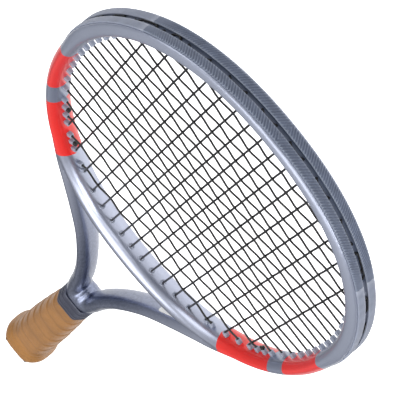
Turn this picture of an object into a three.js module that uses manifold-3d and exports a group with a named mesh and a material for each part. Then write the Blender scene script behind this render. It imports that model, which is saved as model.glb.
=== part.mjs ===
// Tennis racket, 27 inch player's frame with a 97 square inch head, strung 16 x 20.
//
// Design frame, in millimetres: Y runs along the racket from the butt (0) to the tip, X is
// across the face and Z is square to the strings, with Z = 0 in the string plane. The group
// at the end of this file moves the whole racket, so that it lies centred on the floor.
import * as THREE from 'three';
import { mergeVertices } from 'three/addons/utils/BufferGeometryUtils.js';
import Module from 'manifold-3d';

const wasm = await Module();
wasm.setup();

// Overall sizes
const LENGTH = 685;
const BUTT_HALF_THICKNESS = 19.2;
const GAP = 0.3;

// Head: the hoop's inner wall is a superellipse
const HEAD = { centre: 508.35, halfLength: 163.65, halfWidth: 122.2, power: 2.17 };
const BEAM_WIDTH = 11.3;
const CHANNEL = { floor: 9.7, half: 3.1 };
const HOOP_HALF_ANGLE = THREE.MathUtils.degToRad(133);
const HOOP_STATIONS = 40;

// Strings
const MAINS_PER_SIDE = 8;
const CROSSES = 20;
const STRING_RADIUS = 0.65;
const WEAVE = 0.7;
const LANE = { mains: 1.4, crosses: -1.4 };
const LANE_DEPTH = 11.5;
const LANE_TURN = 2.4;
const BRIDGE_MAINS = 5;

// Grommets
const BARREL = { outer: 1.3, bore: 0.85, proud: 3.5, lip: 0.35 };
const BORE_IN_FRAME = 1.6;
const STRIP = { base: 10.0, top: 10.8, half: 2.75 };
const BUMPER_FROM_Y = 622;
const SHOULDER_TO_Y = 427;

// Where the flanges of the side strips end, and the room they are cut to, in section
const TAIL = { fromY: 500, fullY: 560, low: 3.2, high: 10.75, inner: 4, outer: 16 };

// Handle: half sizes across (x) and through (z) of its eight-sided sections
const BEVEL = { side: 0.45, face: 0.62 };
const COLLAR_SPAN = [168, 189];

const COLOUR = {
  frame: 0x7f879c, bridge: 0xc9ccd8, grommet: 0x8c8fa3, bumper: 0x4d5470, string: 0x15151a,
  leather: 0xa5733f, collar: 0x2f3040, plastic: 0x26262c, foam: 0xd8cfae, steel: 0xb9bcc0,
  tape: 0x1c1c20, label: 0xe8e8e6,
};

// ---------------------------------------------------------------- solids

function toSolid(geometry) {
  const bare = geometry.index ? geometry.toNonIndexed() : geometry.clone();
  for (const name of Object.keys(bare.attributes)) {
    if (name !== 'position') bare.deleteAttribute(name);
  }
  const merged = mergeVertices(bare, 1e-4);
  const mesh = new wasm.Mesh({
    numProp: 3,
    vertProperties: new Float32Array(merged.attributes.position.array),
    triVerts: new Uint32Array(merged.index.array),
  });
  return new wasm.Manifold(mesh);
}

function toGeometry(solid) {
  const mesh = solid.getMesh();
  const geometry = new THREE.BufferGeometry();
  geometry.setAttribute('position', new THREE.Float32BufferAttribute(mesh.vertProperties, 3));
  geometry.setIndex(new THREE.Uint32BufferAttribute(mesh.triVerts, 1));
  geometry.computeVertexNormals();
  return geometry;
}

function union(solids) {
  return solids.reduce((sum, next) => sum.add(next));
}

// A solid skinned over rings of points; every ring has the same number of points
function loft(rings) {
  const count = rings[0].length;
  const positions = rings.flat().flatMap((p) => [p.x, p.y, p.z]);
  const faces = [];
  for (let r = 0; r + 1 < rings.length; r += 1) {
    for (let i = 0; i < count; i += 1) {
      const a = r * count + i;
      const b = r * count + ((i + 1) % count);
      faces.push(a, b, b + count, a, b + count, a + count);
    }
  }
  const last = (rings.length - 1) * count;
  for (const [a, b, c] of capFaces(rings[0])) faces.push(a, c, b);
  for (const [a, b, c] of capFaces(rings[rings.length - 1])) faces.push(last + a, last + b, last + c);
  const geometry = new THREE.BufferGeometry();
  geometry.setAttribute('position', new THREE.Float32BufferAttribute(positions, 3));
  geometry.setIndex(signedVolume(positions, faces) < 0 ? faces.reverse() : faces);
  return toSolid(geometry);
}

// Triangles of a flat ring, worked out in the ring's own plane and kept in the ring's turn
function capFaces(ring) {
  const normal = new THREE.Vector3();
  ring.forEach((p, i) => normal.add(p.clone().cross(ring[(i + 1) % ring.length])));
  normal.normalize();
  const across = ring[1].clone().sub(ring[0]).normalize();
  const up = normal.clone().cross(across);
  const flat = ring.map((p) => new THREE.Vector2(p.dot(across), p.dot(up)));
  return THREE.ShapeUtils.triangulateShape(flat, []);
}

function signedVolume(positions, faces) {
  const corner = (i) => new THREE.Vector3().fromArray(positions, faces[i] * 3);
  let sum = 0;
  for (let i = 0; i < faces.length; i += 3) sum += corner(i).dot(corner(i + 1).cross(corner(i + 2)));
  return sum;
}

function box(size, centre) {
  const geometry = new THREE.BoxGeometry(...size);
  geometry.translate(...centre);
  return toSolid(geometry);
}

// A prism from one point to another; the radius is to its corners
function rod(from, to, radius, sides) {
  const span = to.clone().sub(from);
  const geometry = new THREE.CylinderGeometry(radius, radius, span.length(), sides);
  geometry.rotateY(Math.PI / sides);
  const turn = new THREE.Quaternion().setFromUnitVectors(new THREE.Vector3(0, 1, 0), span.normalize());
  const middle = from.clone().add(to).multiplyScalar(0.5);
  geometry.applyMatrix4(new THREE.Matrix4().compose(middle, turn, new THREE.Vector3(1, 1, 1)));
  return toSolid(geometry);
}

// ---------------------------------------------------------------- hoop and hairpin lines

// A point of the hoop's inner wall, moved in by an inset; angle 0 is the tip
function rimPoint(angle, inset = 0) {
  const bend = 2 / HEAD.power;
  const ease = (value) => Math.sign(value) * Math.abs(value) ** bend;
  const x = (HEAD.halfWidth - inset) * ease(Math.sin(angle));
  const y = HEAD.centre + (HEAD.halfLength - inset) * ease(Math.cos(angle));
  return new THREE.Vector2(x, y);
}

function rimNormal(point) {
  const slope = (value, half) => (Math.sign(value) * Math.abs(value / half) ** (HEAD.power - 1)) / half;
  const x = slope(point.x, HEAD.halfWidth);
  const y = slope(point.y - HEAD.centre, HEAD.halfLength);
  return new THREE.Vector2(x, y).normalize();
}

// How far the rim, moved in by an inset, lies from its centre along the string at this offset
function rimReach(offset, across, along) {
  return along * (1 - Math.abs(offset / across) ** HEAD.power) ** (1 / HEAD.power);
}

// The hairpin's centre line: up the handle, round the throat and shoulder, over the tip and back
const ARM_LINE = [
  [4.9, 10], [4.9, 100], [4.9, 173], [6.2, 187], [8.9, 200], [12.6, 222], [18.3, 246],
  [27.0, 272], [37.4, 296], [50.8, 319], [68.6, 346], [82.4, 366],
].map(([x, y]) => new THREE.Vector2(x, y));

function hairpinLine() {
  const hoop = [];
  for (let i = 0; i <= HOOP_STATIONS; i += 1) {
    const angle = HOOP_HALF_ANGLE * (1 - (2 * i) / HOOP_STATIONS);
    const wall = rimPoint(angle);
    hoop.push(wall.clone().addScaledVector(rimNormal(wall), BEAM_WIDTH / 2));
  }
  const left = ARM_LINE.map((p) => new THREE.Vector2(-p.x, p.y)).reverse();
  return [...ARM_LINE, ...hoop, ...left];
}

// The shaft swells outwards and gets thicker towards the collar: [y, width added, thickness]
const FLARE = [[173, 0, 1], [187, 2, 1.1], [200, 1.6, 1.08], [222, 0.6, 1.03], [246, 0, 1]];

function flareAt(y) {
  const next = FLARE.findIndex((row) => row[0] >= y);
  if (next < 1) return [0, 1];
  const [low, high] = [FLARE[next - 1], FLARE[next]];
  const share = (y - low[0]) / (high[0] - low[0]);
  return [1, 2].map((k) => THREE.MathUtils.lerp(low[k], high[k], share));
}

// Widens the outer side of a section and makes the whole of it thicker
function flared(section, y) {
  const [added, thicker] = flareAt(y);
  return section.map(([u, v]) => [u + added * Math.max(0, (2 * u) / BEAM_WIDTH - 1), v * thicker]);
}

const LINE = hairpinLine();
const NORMALS = lineNormals(LINE);

// Outward normals of a line that runs from +X over the tip to -X
function lineNormals(line) {
  return line.map((point, i) => {
    const before = line[Math.max(i - 1, 0)];
    const after = line[Math.min(i + 1, line.length - 1)];
    const along = after.clone().sub(before).normalize();
    return new THREE.Vector2(along.y, -along.x);
  });
}

// ---------------------------------------------------------------- sections

// The beam's section: u runs from the inner wall outwards, v is the height. The channel in
// the outer wall, where the grommet strip lies, can be shallower than its full depth.
function beamSection(channelFloor) {
  const { half } = CHANNEL;
  const upper = [
    [0, 5.4], [3.4, 9.6], [5.4, 10.3], [9.4, 7.6], [BEAM_WIDTH, 4.6], [BEAM_WIDTH, half + 0.2],
    [channelFloor, half],
  ];
  return mirrored(upper);
}

// The bridge's section is squarer, with its crown carried out to the throat side
function bridgeSection(weight) {
  const { floor, half } = CHANNEL;
  const crown = [
    [0, 4.8], [2.8, 8.8], [5.4, 10.1], [9.8, 10.0], [BEAM_WIDTH, 8.4], [BEAM_WIDTH, half + 0.2],
    [floor, half],
  ];
  const plain = beamSection(floor);
  const blend = (from, to) => THREE.MathUtils.lerp(from, to, weight);
  return mirrored(crown.map(([u, v], i) => [blend(plain[i][0], u), blend(plain[i][1], v)]));
}

function mirrored(upper) {
  const lower = upper.map(([u, v]) => [u, -v]).reverse();
  return [...upper, ...lower];
}

// Moves each corner of a section away from its middle
function grown(section, by) {
  const middle = new THREE.Vector2(BEAM_WIDTH / 2, 0);
  return section.map(([u, v]) => {
    const out = new THREE.Vector2(u, v).sub(middle);
    out.setLength(out.length() + by);
    return [middle.x + out.x, out.y];
  });
}

// Puts a section across the line at a point; u = 0 is the inner wall
function ringAt(point, normal, section) {
  return section.map(([u, v]) => {
    const reach = u - BEAM_WIDTH / 2;
    return new THREE.Vector3(point.x + normal.x * reach, point.y + normal.y * reach, v);
  });
}

// A section swept round part of the hoop's inner wall
function rimSweep(fromAngle, toAngle, steps, sectionAt) {
  const rings = [];
  for (let i = 0; i <= steps; i += 1) {
    const angle = THREE.MathUtils.lerp(fromAngle, toAngle, i / steps);
    const wall = rimPoint(angle);
    const normal = rimNormal(wall);
    const middle = wall.clone().addScaledVector(normal, BEAM_WIDTH / 2);
    rings.push(ringAt(middle, normal, sectionAt(angle)));
  }
  return loft(rings);
}

// ---------------------------------------------------------------- string lay-out

// Spacing of the strings: even in the middle, opening out towards the rim
function mainOffset(number) {
  const k = number - 0.5;
  return 11 * k + 0.0308 * k ** 3;
}

function crossHeight(number) {
  const k = (CROSSES + 1) / 2 - number;
  const spread = k > 0 ? 0.0007 : 0.0031;
  return 517.65 + 12.5 * k + Math.sign(k) * spread * k ** 4;
}

// A line that a string's outer loop follows, at a depth measured from the inner wall
function laneLine(depth) {
  return LINE.map((point, i) => point.clone().addScaledVector(NORMALS[i], depth - BEAM_WIDTH / 2));
}

function bridgeLane(depth) {
  const lane = [];
  for (let i = 0; i <= 24; i += 1) {
    const wall = rimPoint(Math.PI + THREE.MathUtils.degToRad(34 * (1 - i / 12)));
    lane.push(wall.clone().addScaledVector(rimNormal(wall), depth));
  }
  return lane;
}

// Where a ray crosses a lane: the lane parameter, as a whole number of segments and a fraction
function crossing(origin, direction, lane) {
  let best = null;
  for (let i = 0; i + 1 < lane.length; i += 1) {
    const edge = lane[i + 1].clone().sub(lane[i]);
    const start = lane[i].clone().sub(origin);
    const cross = direction.cross(edge);
    const reach = start.cross(edge) / cross;
    const share = start.cross(direction) / cross;
    const hit = Math.abs(cross) > 1e-9 && share >= 0 && share <= 1 && reach > 0;
    if (hit && (!best || reach < best.reach)) best = { reach, at: i + share };
  }
  return best;
}

function laneAt(lane, at) {
  const i = Math.min(Math.floor(at), lane.length - 2);
  return lane[i].clone().lerp(lane[i + 1], at - i);
}

// A hole in the rim: the mouth is where the string leaves its barrel, and the direction is
// the way the hole is drilled
function hole(mouth, direction, strip, proud = BARREL.proud) {
  const lane = strip === 'bridge' ? BRIDGE_LANE : OUTER_LANE;
  const { reach, at } = crossing(mouth, direction, lane);
  return { mouth, direction, strip, proud, reach, at, lane };
}

const OUTER_LANE = laneLine(LANE_DEPTH);
const BRIDGE_LANE = bridgeLane(LANE_DEPTH);

function stripFor(y) {
  if (y > BUMPER_FROM_Y) return 'bumper';
  return y > SHOULDER_TO_Y ? 'side' : 'shoulder';
}

function rimHole(mouth) {
  return hole(mouth, rimNormal(mouth), stripFor(mouth.y));
}

// A main's hole at the tip (end 1) or the throat (end -1)
function mainHole(number, side, end) {
  const x = side * mainOffset(number);
  if (end < 0 && number <= BRIDGE_MAINS) {
    const reach = rimReach(x, HEAD.halfWidth, HEAD.halfLength);
    return hole(new THREE.Vector2(x, HEAD.centre - reach + 0.4), new THREE.Vector2(0, -1), 'bridge', 0.4);
  }
  const inset = BARREL.proud;
  const reach = rimReach(x, HEAD.halfWidth - inset, HEAD.halfLength - inset);
  return rimHole(new THREE.Vector2(x, HEAD.centre + end * reach));
}

function crossHole(number, side) {
  const y = crossHeight(number);
  const inset = BARREL.proud;
  const reach = rimReach(y - HEAD.centre, HEAD.halfLength - inset, HEAD.halfWidth - inset);
  return rimHole(new THREE.Vector2(side * reach, y));
}

// A tie-off hole midway between two neighbours on the rim
function tieHole(first, second) {
  return rimHole(first.mouth.clone().lerp(second.mouth, 0.5));
}

const MAIN_HOLES = {};
const CROSS_HOLES = {};
for (const side of [1, -1]) {
  for (let n = 1; n <= MAINS_PER_SIDE; n += 1) {
    MAIN_HOLES[`${side * n},1`] = mainHole(n, side, 1);
    MAIN_HOLES[`${side * n},-1`] = mainHole(n, side, -1);
  }
  for (let n = 1; n <= CROSSES; n += 1) CROSS_HOLES[`${n},${side}`] = crossHole(n, side);
}
const TIE_HOLES = {
  mainRight: tieHole(CROSS_HOLES['18,1'], CROSS_HOLES['17,1']),
  mainLeft: tieHole(CROSS_HOLES['18,-1'], CROSS_HOLES['17,-1']),
  crossStart: tieHole(CROSS_HOLES['1,-1'], MAIN_HOLES['-7,1']),
  crossEnd: tieHole(MAIN_HOLES['-7,-1'], CROSS_HOLES['19,-1']),
};
const HOLES = [...Object.values(MAIN_HOLES), ...Object.values(CROSS_HOLES), ...Object.values(TIE_HOLES)];

// ---------------------------------------------------------------- frame

// A square prism along a hole, from before its mouth to beyond it
function holePrism(one, halfSide, before, after) {
  const from = one.mouth.clone().addScaledVector(one.direction, -before);
  const to = one.mouth.clone().addScaledVector(one.direction, after);
  return rod(lifted(from, 0), lifted(to, 0), halfSide * Math.SQRT2, 4);
}

function allBores() {
  return union(HOLES.map((one) => holePrism(one, BORE_IN_FRAME, 2, one.reach + 3)));
}

// The channel is full depth round the hoop and shoulders and dies out down the arms
function channelFloorAt(index) {
  const station = Math.min(index, LINE.length - 1 - index);
  const fade = THREE.MathUtils.smoothstep(station, 7, 9);
  return THREE.MathUtils.lerp(BEAM_WIDTH - 0.05, CHANNEL.floor, fade);
}

function hairpinSolid(by = 0) {
  const rings = LINE.map((point, i) => {
    const section = by > 0 ? beamSection(BEAM_WIDTH) : beamSection(channelFloorAt(i));
    const swollen = flared(section, point.y);
    return ringAt(point, NORMALS[i], by > 0 ? grown(swollen, by) : swollen);
  });
  return halfLofts(rings);
}

// The two legs lie against each other in the handle, so each half is skinned alone and joined
function halfLofts(rings) {
  const middle = Math.floor(rings.length / 2);
  return loft(rings.slice(0, middle + 1)).add(loft(rings.slice(middle)));
}

// The web that closes the bottom of the throat between the two arms
function throatWeb() {
  const outline = [[-4, 150], [4, 150], [5.5, 198], [2.6, 201.5], [0, 202.6], [-2.6, 201.5], [-5.5, 198]];
  const height = 8.2;
  const rings = [-height, height].map((z) => outline.map(([x, y]) => new THREE.Vector3(x, y, z)));
  return loft(rings);
}

function frameHairpin(bores) {
  return hairpinSolid().add(throatWeb()).subtract(bores);
}

const BRIDGE_HALF_ANGLE = THREE.MathUtils.degToRad(46);
const BRIDGE_STEPS = 18;

function throatBridge(bores) {
  const sectionAt = (angle) => {
    const share = Math.abs(angle - Math.PI) / BRIDGE_HALF_ANGLE;
    return bridgeSection(1 - THREE.MathUtils.smoothstep(share, 0.45, 0.85));
  };
  const from = Math.PI - BRIDGE_HALF_ANGLE;
  const to = Math.PI + BRIDGE_HALF_ANGLE;
  return rimSweep(from, to, BRIDGE_STEPS, sectionAt).subtract(hairpinSolid(GAP + 0.05)).subtract(bores);
}

// ---------------------------------------------------------------- grommet strips and bumper

function barrelsOf(holes) {
  const sleeves = holes.map((one) => holePrism(one, BARREL.outer, -BARREL.lip, one.reach - 1.1));
  return union(sleeves);
}

function boresOf(holes) {
  return union(holes.map((one) => holePrism(one, BARREL.bore, 1, one.reach + 3)));
}

// A section swept along part of a lane, between two lane parameters; it can change with height
function stripBase(lane, from, to, sectionAt) {
  const stops = [from];
  for (let i = Math.floor(from) + 1; i < to; i += 1) stops.push(i);
  stops.push(to);
  const line = stops.map((at) => laneAt(lane, at));
  const normals = lineNormals(line);
  const rings = line.map((point, i) => sectionAt(point.y).map(([u, v]) => {
    const reach = u - LANE_DEPTH;
    return new THREE.Vector3(point.x + normals[i].x * reach, point.y + normals[i].y * reach, v);
  }));
  return loft(rings);
}

const STRIP_SECTION = [
  [STRIP.base, -STRIP.half], [STRIP.base, STRIP.half], [STRIP.top, STRIP.half], [STRIP.top, -STRIP.half],
];

// The inner side of a flange follows the outer wall and bevel of the frame
const FLANGE_INNER = [[STRIP.base, 2.75], [11.55, 2.95], [11.6, 4.75], [9.75, 7.9], [6.9, 9.8]];

// Squares off the frame's outer bevels, with the string groove down its middle
const BUMPER_SECTION = mirrored([
  ...FLANGE_INNER, [7.3, 10.6], [11.8, 10.75], [12.8, 9.4], [13.0, 7.0], [13.0, 2.5], [STRIP.top, 2.3],
]);

// The side strips carry the bumper's shape on, a little flatter, before it tapers away
const TAIL_SECTION = mirrored([
  ...FLANGE_INNER, [7.3, 10.6], [11.4, 10.6], [12.2, 9.3], [12.4, 7.0], [12.4, 2.5], [STRIP.top, 2.3],
]);

// How far a strip runs on each side of its holes, in lane parameters
function stripReach(holes, endRoom) {
  const ats = holes.map((one) => one.at);
  return [Math.min(...ats) - endRoom, Math.max(...ats) + endRoom];
}

function stripSolid(holes, section, endRoom) {
  const base = stripBase(holes[0].lane, ...stripReach(holes, endRoom), () => section);
  return base.add(barrelsOf(holes)).subtract(boresOf(holes));
}

const SIDE_END_ROOM = 0.2;

// The lane parameter at which the outer lane, on one side, is at a height
function laneParameter(y, side) {
  const on = OUTER_LANE.findIndex((p, i) => {
    const last = OUTER_LANE[Math.max(0, i - 1)];
    return i > 0 && p.x * side > 0 && (last.y - y) * (p.y - y) <= 0;
  });
  const [before, after] = [OUTER_LANE[on - 1], OUTER_LANE[on]];
  return on - 1 + (y - before.y) / (after.y - before.y);
}

// A side strip with its flanges, which get narrower down the side until they end
function sideStrip(side) {
  const holes = holesOf('side', side);
  const strip = stripSolid(holes, STRIP_SECTION, SIDE_END_ROOM);
  const [low, high] = stripReach(holes, SIDE_END_ROOM);
  const end = laneParameter(TAIL.fromY, side);
  const span = side > 0 ? [end, high] : [low, end];
  const flange = stripBase(OUTER_LANE, ...span, () => TAIL_SECTION);
  const room = stripBase(OUTER_LANE, ...span, (y) => {
    const growth = THREE.MathUtils.smoothstep(y, TAIL.fromY, TAIL.fullY);
    const half = THREE.MathUtils.lerp(TAIL.low, TAIL.high, growth);
    return [[TAIL.inner, -half], [TAIL.inner, half], [TAIL.outer, half], [TAIL.outer, -half]];
  });
  return strip.add(flange.intersect(room)).subtract(boresOf(holes));
}

function holesOf(strip, side) {
  return HOLES.filter((one) => one.strip === strip && (!side || Math.sign(one.mouth.x) === side));
}

function bumperGuard() {
  return stripSolid(holesOf('bumper'), BUMPER_SECTION, 0.75);
}

// ---------------------------------------------------------------- strings

// A route given as a list of points, stepped through one point at a time
class Route extends THREE.Curve {
  constructor(points) {
    super();
    this.points = points;
  }

  getPoint(t) {
    const scaled = t * (this.points.length - 1);
    const i = Math.min(Math.floor(scaled + 1e-6), this.points.length - 2);
    return this.points[i].clone().lerp(this.points[i + 1], scaled - i);
  }

  getPointAt(t) {
    return this.getPoint(t);
  }

  // Frames that keep the section level instead of letting it roll
  computeFrenetFrames(segments) {
    const tangents = [];
    const normals = [];
    const binormals = [];
    for (let i = 0; i <= segments; i += 1) {
      const along = this.getTangentAt(i / segments);
      const sideways = new THREE.Vector3(0, 0, 1).cross(along).normalize();
      tangents.push(along);
      normals.push(sideways);
      binormals.push(along.clone().cross(sideways));
    }
    return { tangents, normals, binormals };
  }

  getTangentAt(t) {
    const i = Math.round(t * (this.points.length - 1));
    const before = this.points[Math.max(i - 1, 0)];
    const here = this.points[i];
    const after = this.points[Math.min(i + 1, this.points.length - 1)];
    const arriving = here.clone().sub(before).normalize();
    const leaving = after.clone().sub(here).normalize();
    return arriving.add(leaving).normalize();
  }
}

// A square section of the same area as the round string, flat where strings cross
function stringTube(points) {
  const half = (STRING_RADIUS * Math.sqrt(Math.PI)) / 2;
  const corners = [[half, half], [-half, half], [-half, -half], [half, -half]];
  const section = new THREE.Shape(corners.map(([x, y]) => new THREE.Vector2(x, y)));
  const settings = { steps: points.length - 1, extrudePath: new Route(points), bevelEnabled: false };
  return toSolid(new THREE.ExtrudeGeometry(section, settings));
}

function knot(point) {
  const geometry = new THREE.IcosahedronGeometry(1.9, 0);
  geometry.translate(point.x, point.y, point.z);
  return toSolid(geometry);
}

function lifted(flat, z) {
  return new THREE.Vector3(flat.x, flat.y, z);
}

// The loop outside the frame from one hole to the next: out of the hole, over into its own
// side of the groove, along it and back in
function outerLoop(first, second, height) {
  const { lane } = first;
  const way = Math.sign(second.at - first.at);
  const spacing = laneAt(lane, first.at).distanceTo(laneAt(lane, first.at + way)) || 1;
  const bend = (LANE_TURN / spacing) * way;
  const stops = [first.at + bend];
  const start = way > 0 ? Math.ceil(stops[0]) : Math.floor(stops[0]);
  for (let at = start; (second.at - bend - at) * way > 0; at += way) {
    if ((at - stops[0]) * way > 0.02) stops.push(at);
  }
  stops.push(second.at - bend);
  const along = stops.map((at) => lifted(laneAt(lane, at), height));
  return [exitOf(first), ...along, exitOf(second)];
}

function exitOf(one) {
  return lifted(one.mouth.clone().addScaledVector(one.direction, one.reach), 0);
}

// The zigzag over and under the strings it meets, from one mouth to the other
function weave(from, to, crossings, axis, firstSign) {
  const points = [lifted(from, 0)];
  let sign = firstSign;
  for (const value of crossings) {
    const point = lifted(from, sign * WEAVE);
    point[axis] = value;
    points.push(point);
    sign = -sign;
  }
  points.push(lifted(to, 0));
  return points;
}

function mainSpan(key, upwards) {
  const number = Number(key);
  const x = Math.sign(number) * mainOffset(Math.abs(number));
  const column = number > 0 ? number + MAINS_PER_SIDE - 1 : number + MAINS_PER_SIDE;
  const low = MAIN_HOLES[`${key},-1`].mouth;
  const high = MAIN_HOLES[`${key},1`].mouth;
  const met = [];
  for (let n = CROSSES; n >= 1; n -= 1) {
    if (Math.abs(x) < Math.abs(CROSS_HOLES[`${n},1`].mouth.x)) met.push(n);
  }
  const sign = (column + met[0]) % 2 === 0 ? 1 : -1;
  const points = weave(low, high, met.map(crossHeight), 'y', sign);
  return upwards ? points : points.reverse();
}

function crossSpan(number, rightwards) {
  const y = crossHeight(number);
  const columns = [];
  for (let n = -MAINS_PER_SIDE; n <= MAINS_PER_SIDE; n += 1) {
    if (n !== 0 && y > MAIN_HOLES[`${n},-1`].mouth.y && y < MAIN_HOLES[`${n},1`].mouth.y) columns.push(n);
  }
  const first = columns[0] + MAINS_PER_SIDE;
  const sign = (first + number) % 2 === 0 ? -1 : 1;
  const xs = columns.map((n) => Math.sign(n) * mainOffset(Math.abs(n)));
  const points = weave(CROSS_HOLES[`${number},-1`].mouth, CROSS_HOLES[`${number},1`].mouth, xs, 'x', sign);
  return rightwards ? points : points.reverse();
}

// A tied end: from a hole, round the outside, in through the tie-off hole to the knot
function tieOff(from, tie, height) {
  const end = lifted(tie.mouth.clone().addScaledVector(tie.direction, -2.2), 0);
  return { route: [...outerLoop(from, tie, height), lifted(tie.mouth, 0), end], knot: end };
}

function mainString() {
  const order = [-8, -7, -6, -5, -4, -3, -2, -1, 1, 2, 3, 4, 5, 6, 7, 8];
  const start = tieOff(MAIN_HOLES['-8,-1'], TIE_HOLES.mainLeft, LANE.mains);
  const finish = tieOff(MAIN_HOLES['8,-1'], TIE_HOLES.mainRight, LANE.mains);
  const points = [...start.route].reverse();
  order.forEach((number, i) => {
    const upwards = i % 2 === 0;
    points.push(...mainSpan(String(number), upwards));
    if (i + 1 === order.length) return;
    const end = upwards ? 1 : -1;
    const [from, to] = [MAIN_HOLES[`${number},${end}`], MAIN_HOLES[`${order[i + 1]},${end}`]];
    points.push(...outerLoop(from, to, LANE.mains));
  });
  points.push(...finish.route);
  return stringTube(points).add(knot(start.knot)).add(knot(finish.knot));
}

function crossString() {
  const start = tieOff(CROSS_HOLES['1,-1'], TIE_HOLES.crossStart, LANE.crosses);
  const finish = tieOff(CROSS_HOLES['20,-1'], TIE_HOLES.crossEnd, LANE.crosses);
  const points = [...start.route].reverse();
  for (let n = 1; n <= CROSSES; n += 1) {
    const rightwards = n % 2 === 1;
    points.push(...crossSpan(n, rightwards));
    const side = rightwards ? 1 : -1;
    if (n < CROSSES) {
      points.push(...outerLoop(CROSS_HOLES[`${n},${side}`], CROSS_HOLES[`${n + 1},${side}`], LANE.crosses));
    }
  }
  points.push(...finish.route);
  return stringTube(points).add(knot(start.knot)).add(knot(finish.knot));
}

// ---------------------------------------------------------------- handle

function octagon(y, halfX, halfZ) {
  const quarter = [[halfX, BEVEL.side * halfZ], [BEVEL.face * halfX, halfZ]];
  const flip = (sx, sz) => quarter.map(([x, z]) => new THREE.Vector3(sx * x, y, sz * z));
  return [...flip(1, 1), ...flip(-1, 1).reverse(), ...flip(-1, -1), ...flip(1, -1).reverse()];
}

// Stations are [y, half width, half thickness]
function octagonLoft(stations) {
  return loft(stations.map((one) => octagon(...one)));
}

function octagonSleeve(stations, wall) {
  const inner = stations.map(([y, x, z]) => [y, x - wall, z - wall]);
  inner[0][0] -= 1;
  inner[inner.length - 1][0] += 1;
  return octagonLoft(stations).subtract(octagonLoft(inner));
}

const LEATHER_WALL = 1.5;
const LEATHER = [
  [2.8, 20.3, 18.7], [8, 20.8, 19.2], [14, 19.4, 17.7], [24, 17.4, 15.6], [70, 17.4, 15.6],
  [110, 16.1, 14.7], [150, 14.5, 13.6], [172, 12.6, 12.2],
];
const CAP_WALL = 1.1;
const CAP_SLEEVE_TO = 31;
const PALLET_FROM = 10;
const PALLET_TO = 156;
const DOOR = { width: 16, height: 12, thick: 2.4, wall: 2.5 };

function leatherGrip() {
  return octagonSleeve(LEATHER, LEATHER_WALL);
}

// The cap's outer faces lie just under the leather, with a bare lip at the very end
function buttCap() {
  const under = LEATHER_WALL + GAP;
  const seat = LEATHER.slice(0, 4).map(([y, x, z]) => [y, x - under, z - under]);
  const lip = [[0, 18.6, 17.0], [1.0, 19.7, 18.1], [2.3, 19.7, 18.1], [2.5, seat[0][1], seat[0][2]]];
  const end = [CAP_SLEEVE_TO, seat[3][1], seat[3][2]];
  const outer = octagonLoft([...lip, ...seat, end]);
  const pocket = [end[1] - CAP_WALL, end[2] - CAP_WALL];
  const hollow = octagonLoft([[DOOR.wall, ...pocket], [CAP_SLEEVE_TO + 1, ...pocket]]);
  const doorway = box([DOOR.width, 8, DOOR.height], [0, 2, 0]);
  return outer.subtract(hollow).subtract(doorway);
}

// A push-fit cover: a flush plate with a finger recess and two clip legs behind it
function buttCapDoor() {
  const width = DOOR.width - 2 * GAP;
  const height = DOOR.height - 2 * GAP;
  const plate = box([width, DOOR.thick, height], [0, 0.1 + DOOR.thick / 2, 0]);
  const legs = [1, -1].map((side) => box([1.4, 5, 8], [side * (width / 2 - 0.7), DOOR.thick + 2, 0]));
  const recess = box([7, 1.2, 3], [0, 0.5, 0]);
  return union([plate, ...legs]).subtract(recess);
}

// One half of the moulded handle, above or below the shaft; it narrows inside the cap's
// sleeve and again towards the collar
function palletSolid(face) {
  const cap = LEATHER[3].slice(1).map((half) => half - LEATHER_WALL - CAP_WALL - 3 * GAP);
  const free = (index) => LEATHER[index].slice(1).map((half) => half - LEATHER_WALL - GAP);
  const stations = [
    [PALLET_FROM, ...cap], [CAP_SLEEVE_TO + GAP, ...cap], [CAP_SLEEVE_TO + GAP + 0.1, ...free(3)],
    [70, ...free(4)], [110, ...free(5)], [150, ...free(6)], [PALLET_TO, 12.2, 11.3],
  ];
  const whole = octagonLoft(stations);
  const shaft = box([22.4, 400, 21.4], [0, 150, 0]);
  const half = box([60, 400, 30], [0, 150, face * (15 + GAP / 2)]);
  return whole.subtract(shaft).intersect(half);
}

const COLLAR = [[COLLAR_SPAN[0], 14.7, 14.2], [180, 14.7, 13.6], [COLLAR_SPAN[1], 15.4, 12.7]];

function rubberCollar() {
  return octagonSleeve(COLLAR, 0.9);
}

function finishingTape() {
  return octagonSleeve([[168.6, 13.4, 12.9], [180, 12.9, 12.2]], 0.2);
}

// Staples hold the cap's sleeve to the pallets, two on each side
const STAPLE = { y: 27.5, z: 3.4, crown: 6, wire: 0.7, leg: 3.6 };

function stapleSolid(side, face, by = 0) {
  const skin = LEATHER[3][1] - LEATHER_WALL - GAP;
  const outer = skin - 0.1;
  const wire = STAPLE.wire + 2 * by;
  const middle = [side * (outer - STAPLE.wire / 2), STAPLE.y, face * STAPLE.z];
  const crown = box([wire, STAPLE.crown + 2 * by, wire], middle);
  const legs = [1, -1].map((end) => {
    const y = STAPLE.y + (end * (STAPLE.crown - STAPLE.wire)) / 2;
    return box([STAPLE.leg + by, wire, wire], [side * (outer - (STAPLE.leg + by) / 2), y, face * STAPLE.z]);
  });
  return union([crown, ...legs]);
}

// A tack holds the start of the leather to the cap
// A flat-headed tack: how far its head stands out, how deep it goes, and its radii
const TACK = { y: 28, proud: 0.4, sunk: 0.5, length: 4, head: 2.2, shank: 0.5 };

function tackSolid(by = 0) {
  const top = -LEATHER[3][2];
  const at = (z) => new THREE.Vector3(0, TACK.y, top + z);
  const head = rod(at(-TACK.proud), at(TACK.sunk + by), TACK.head + by, 10);
  const shank = rod(at(TACK.proud / 2), at(TACK.length + by), TACK.shank + by, 6);
  return head.add(shank);
}

// A thin blank label stuck to the inner wall of one arm, bent to follow it
const LABEL = { fromStation: 8.78, toStation: 9.48, half: 4.4, thick: 0.2 };

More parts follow.
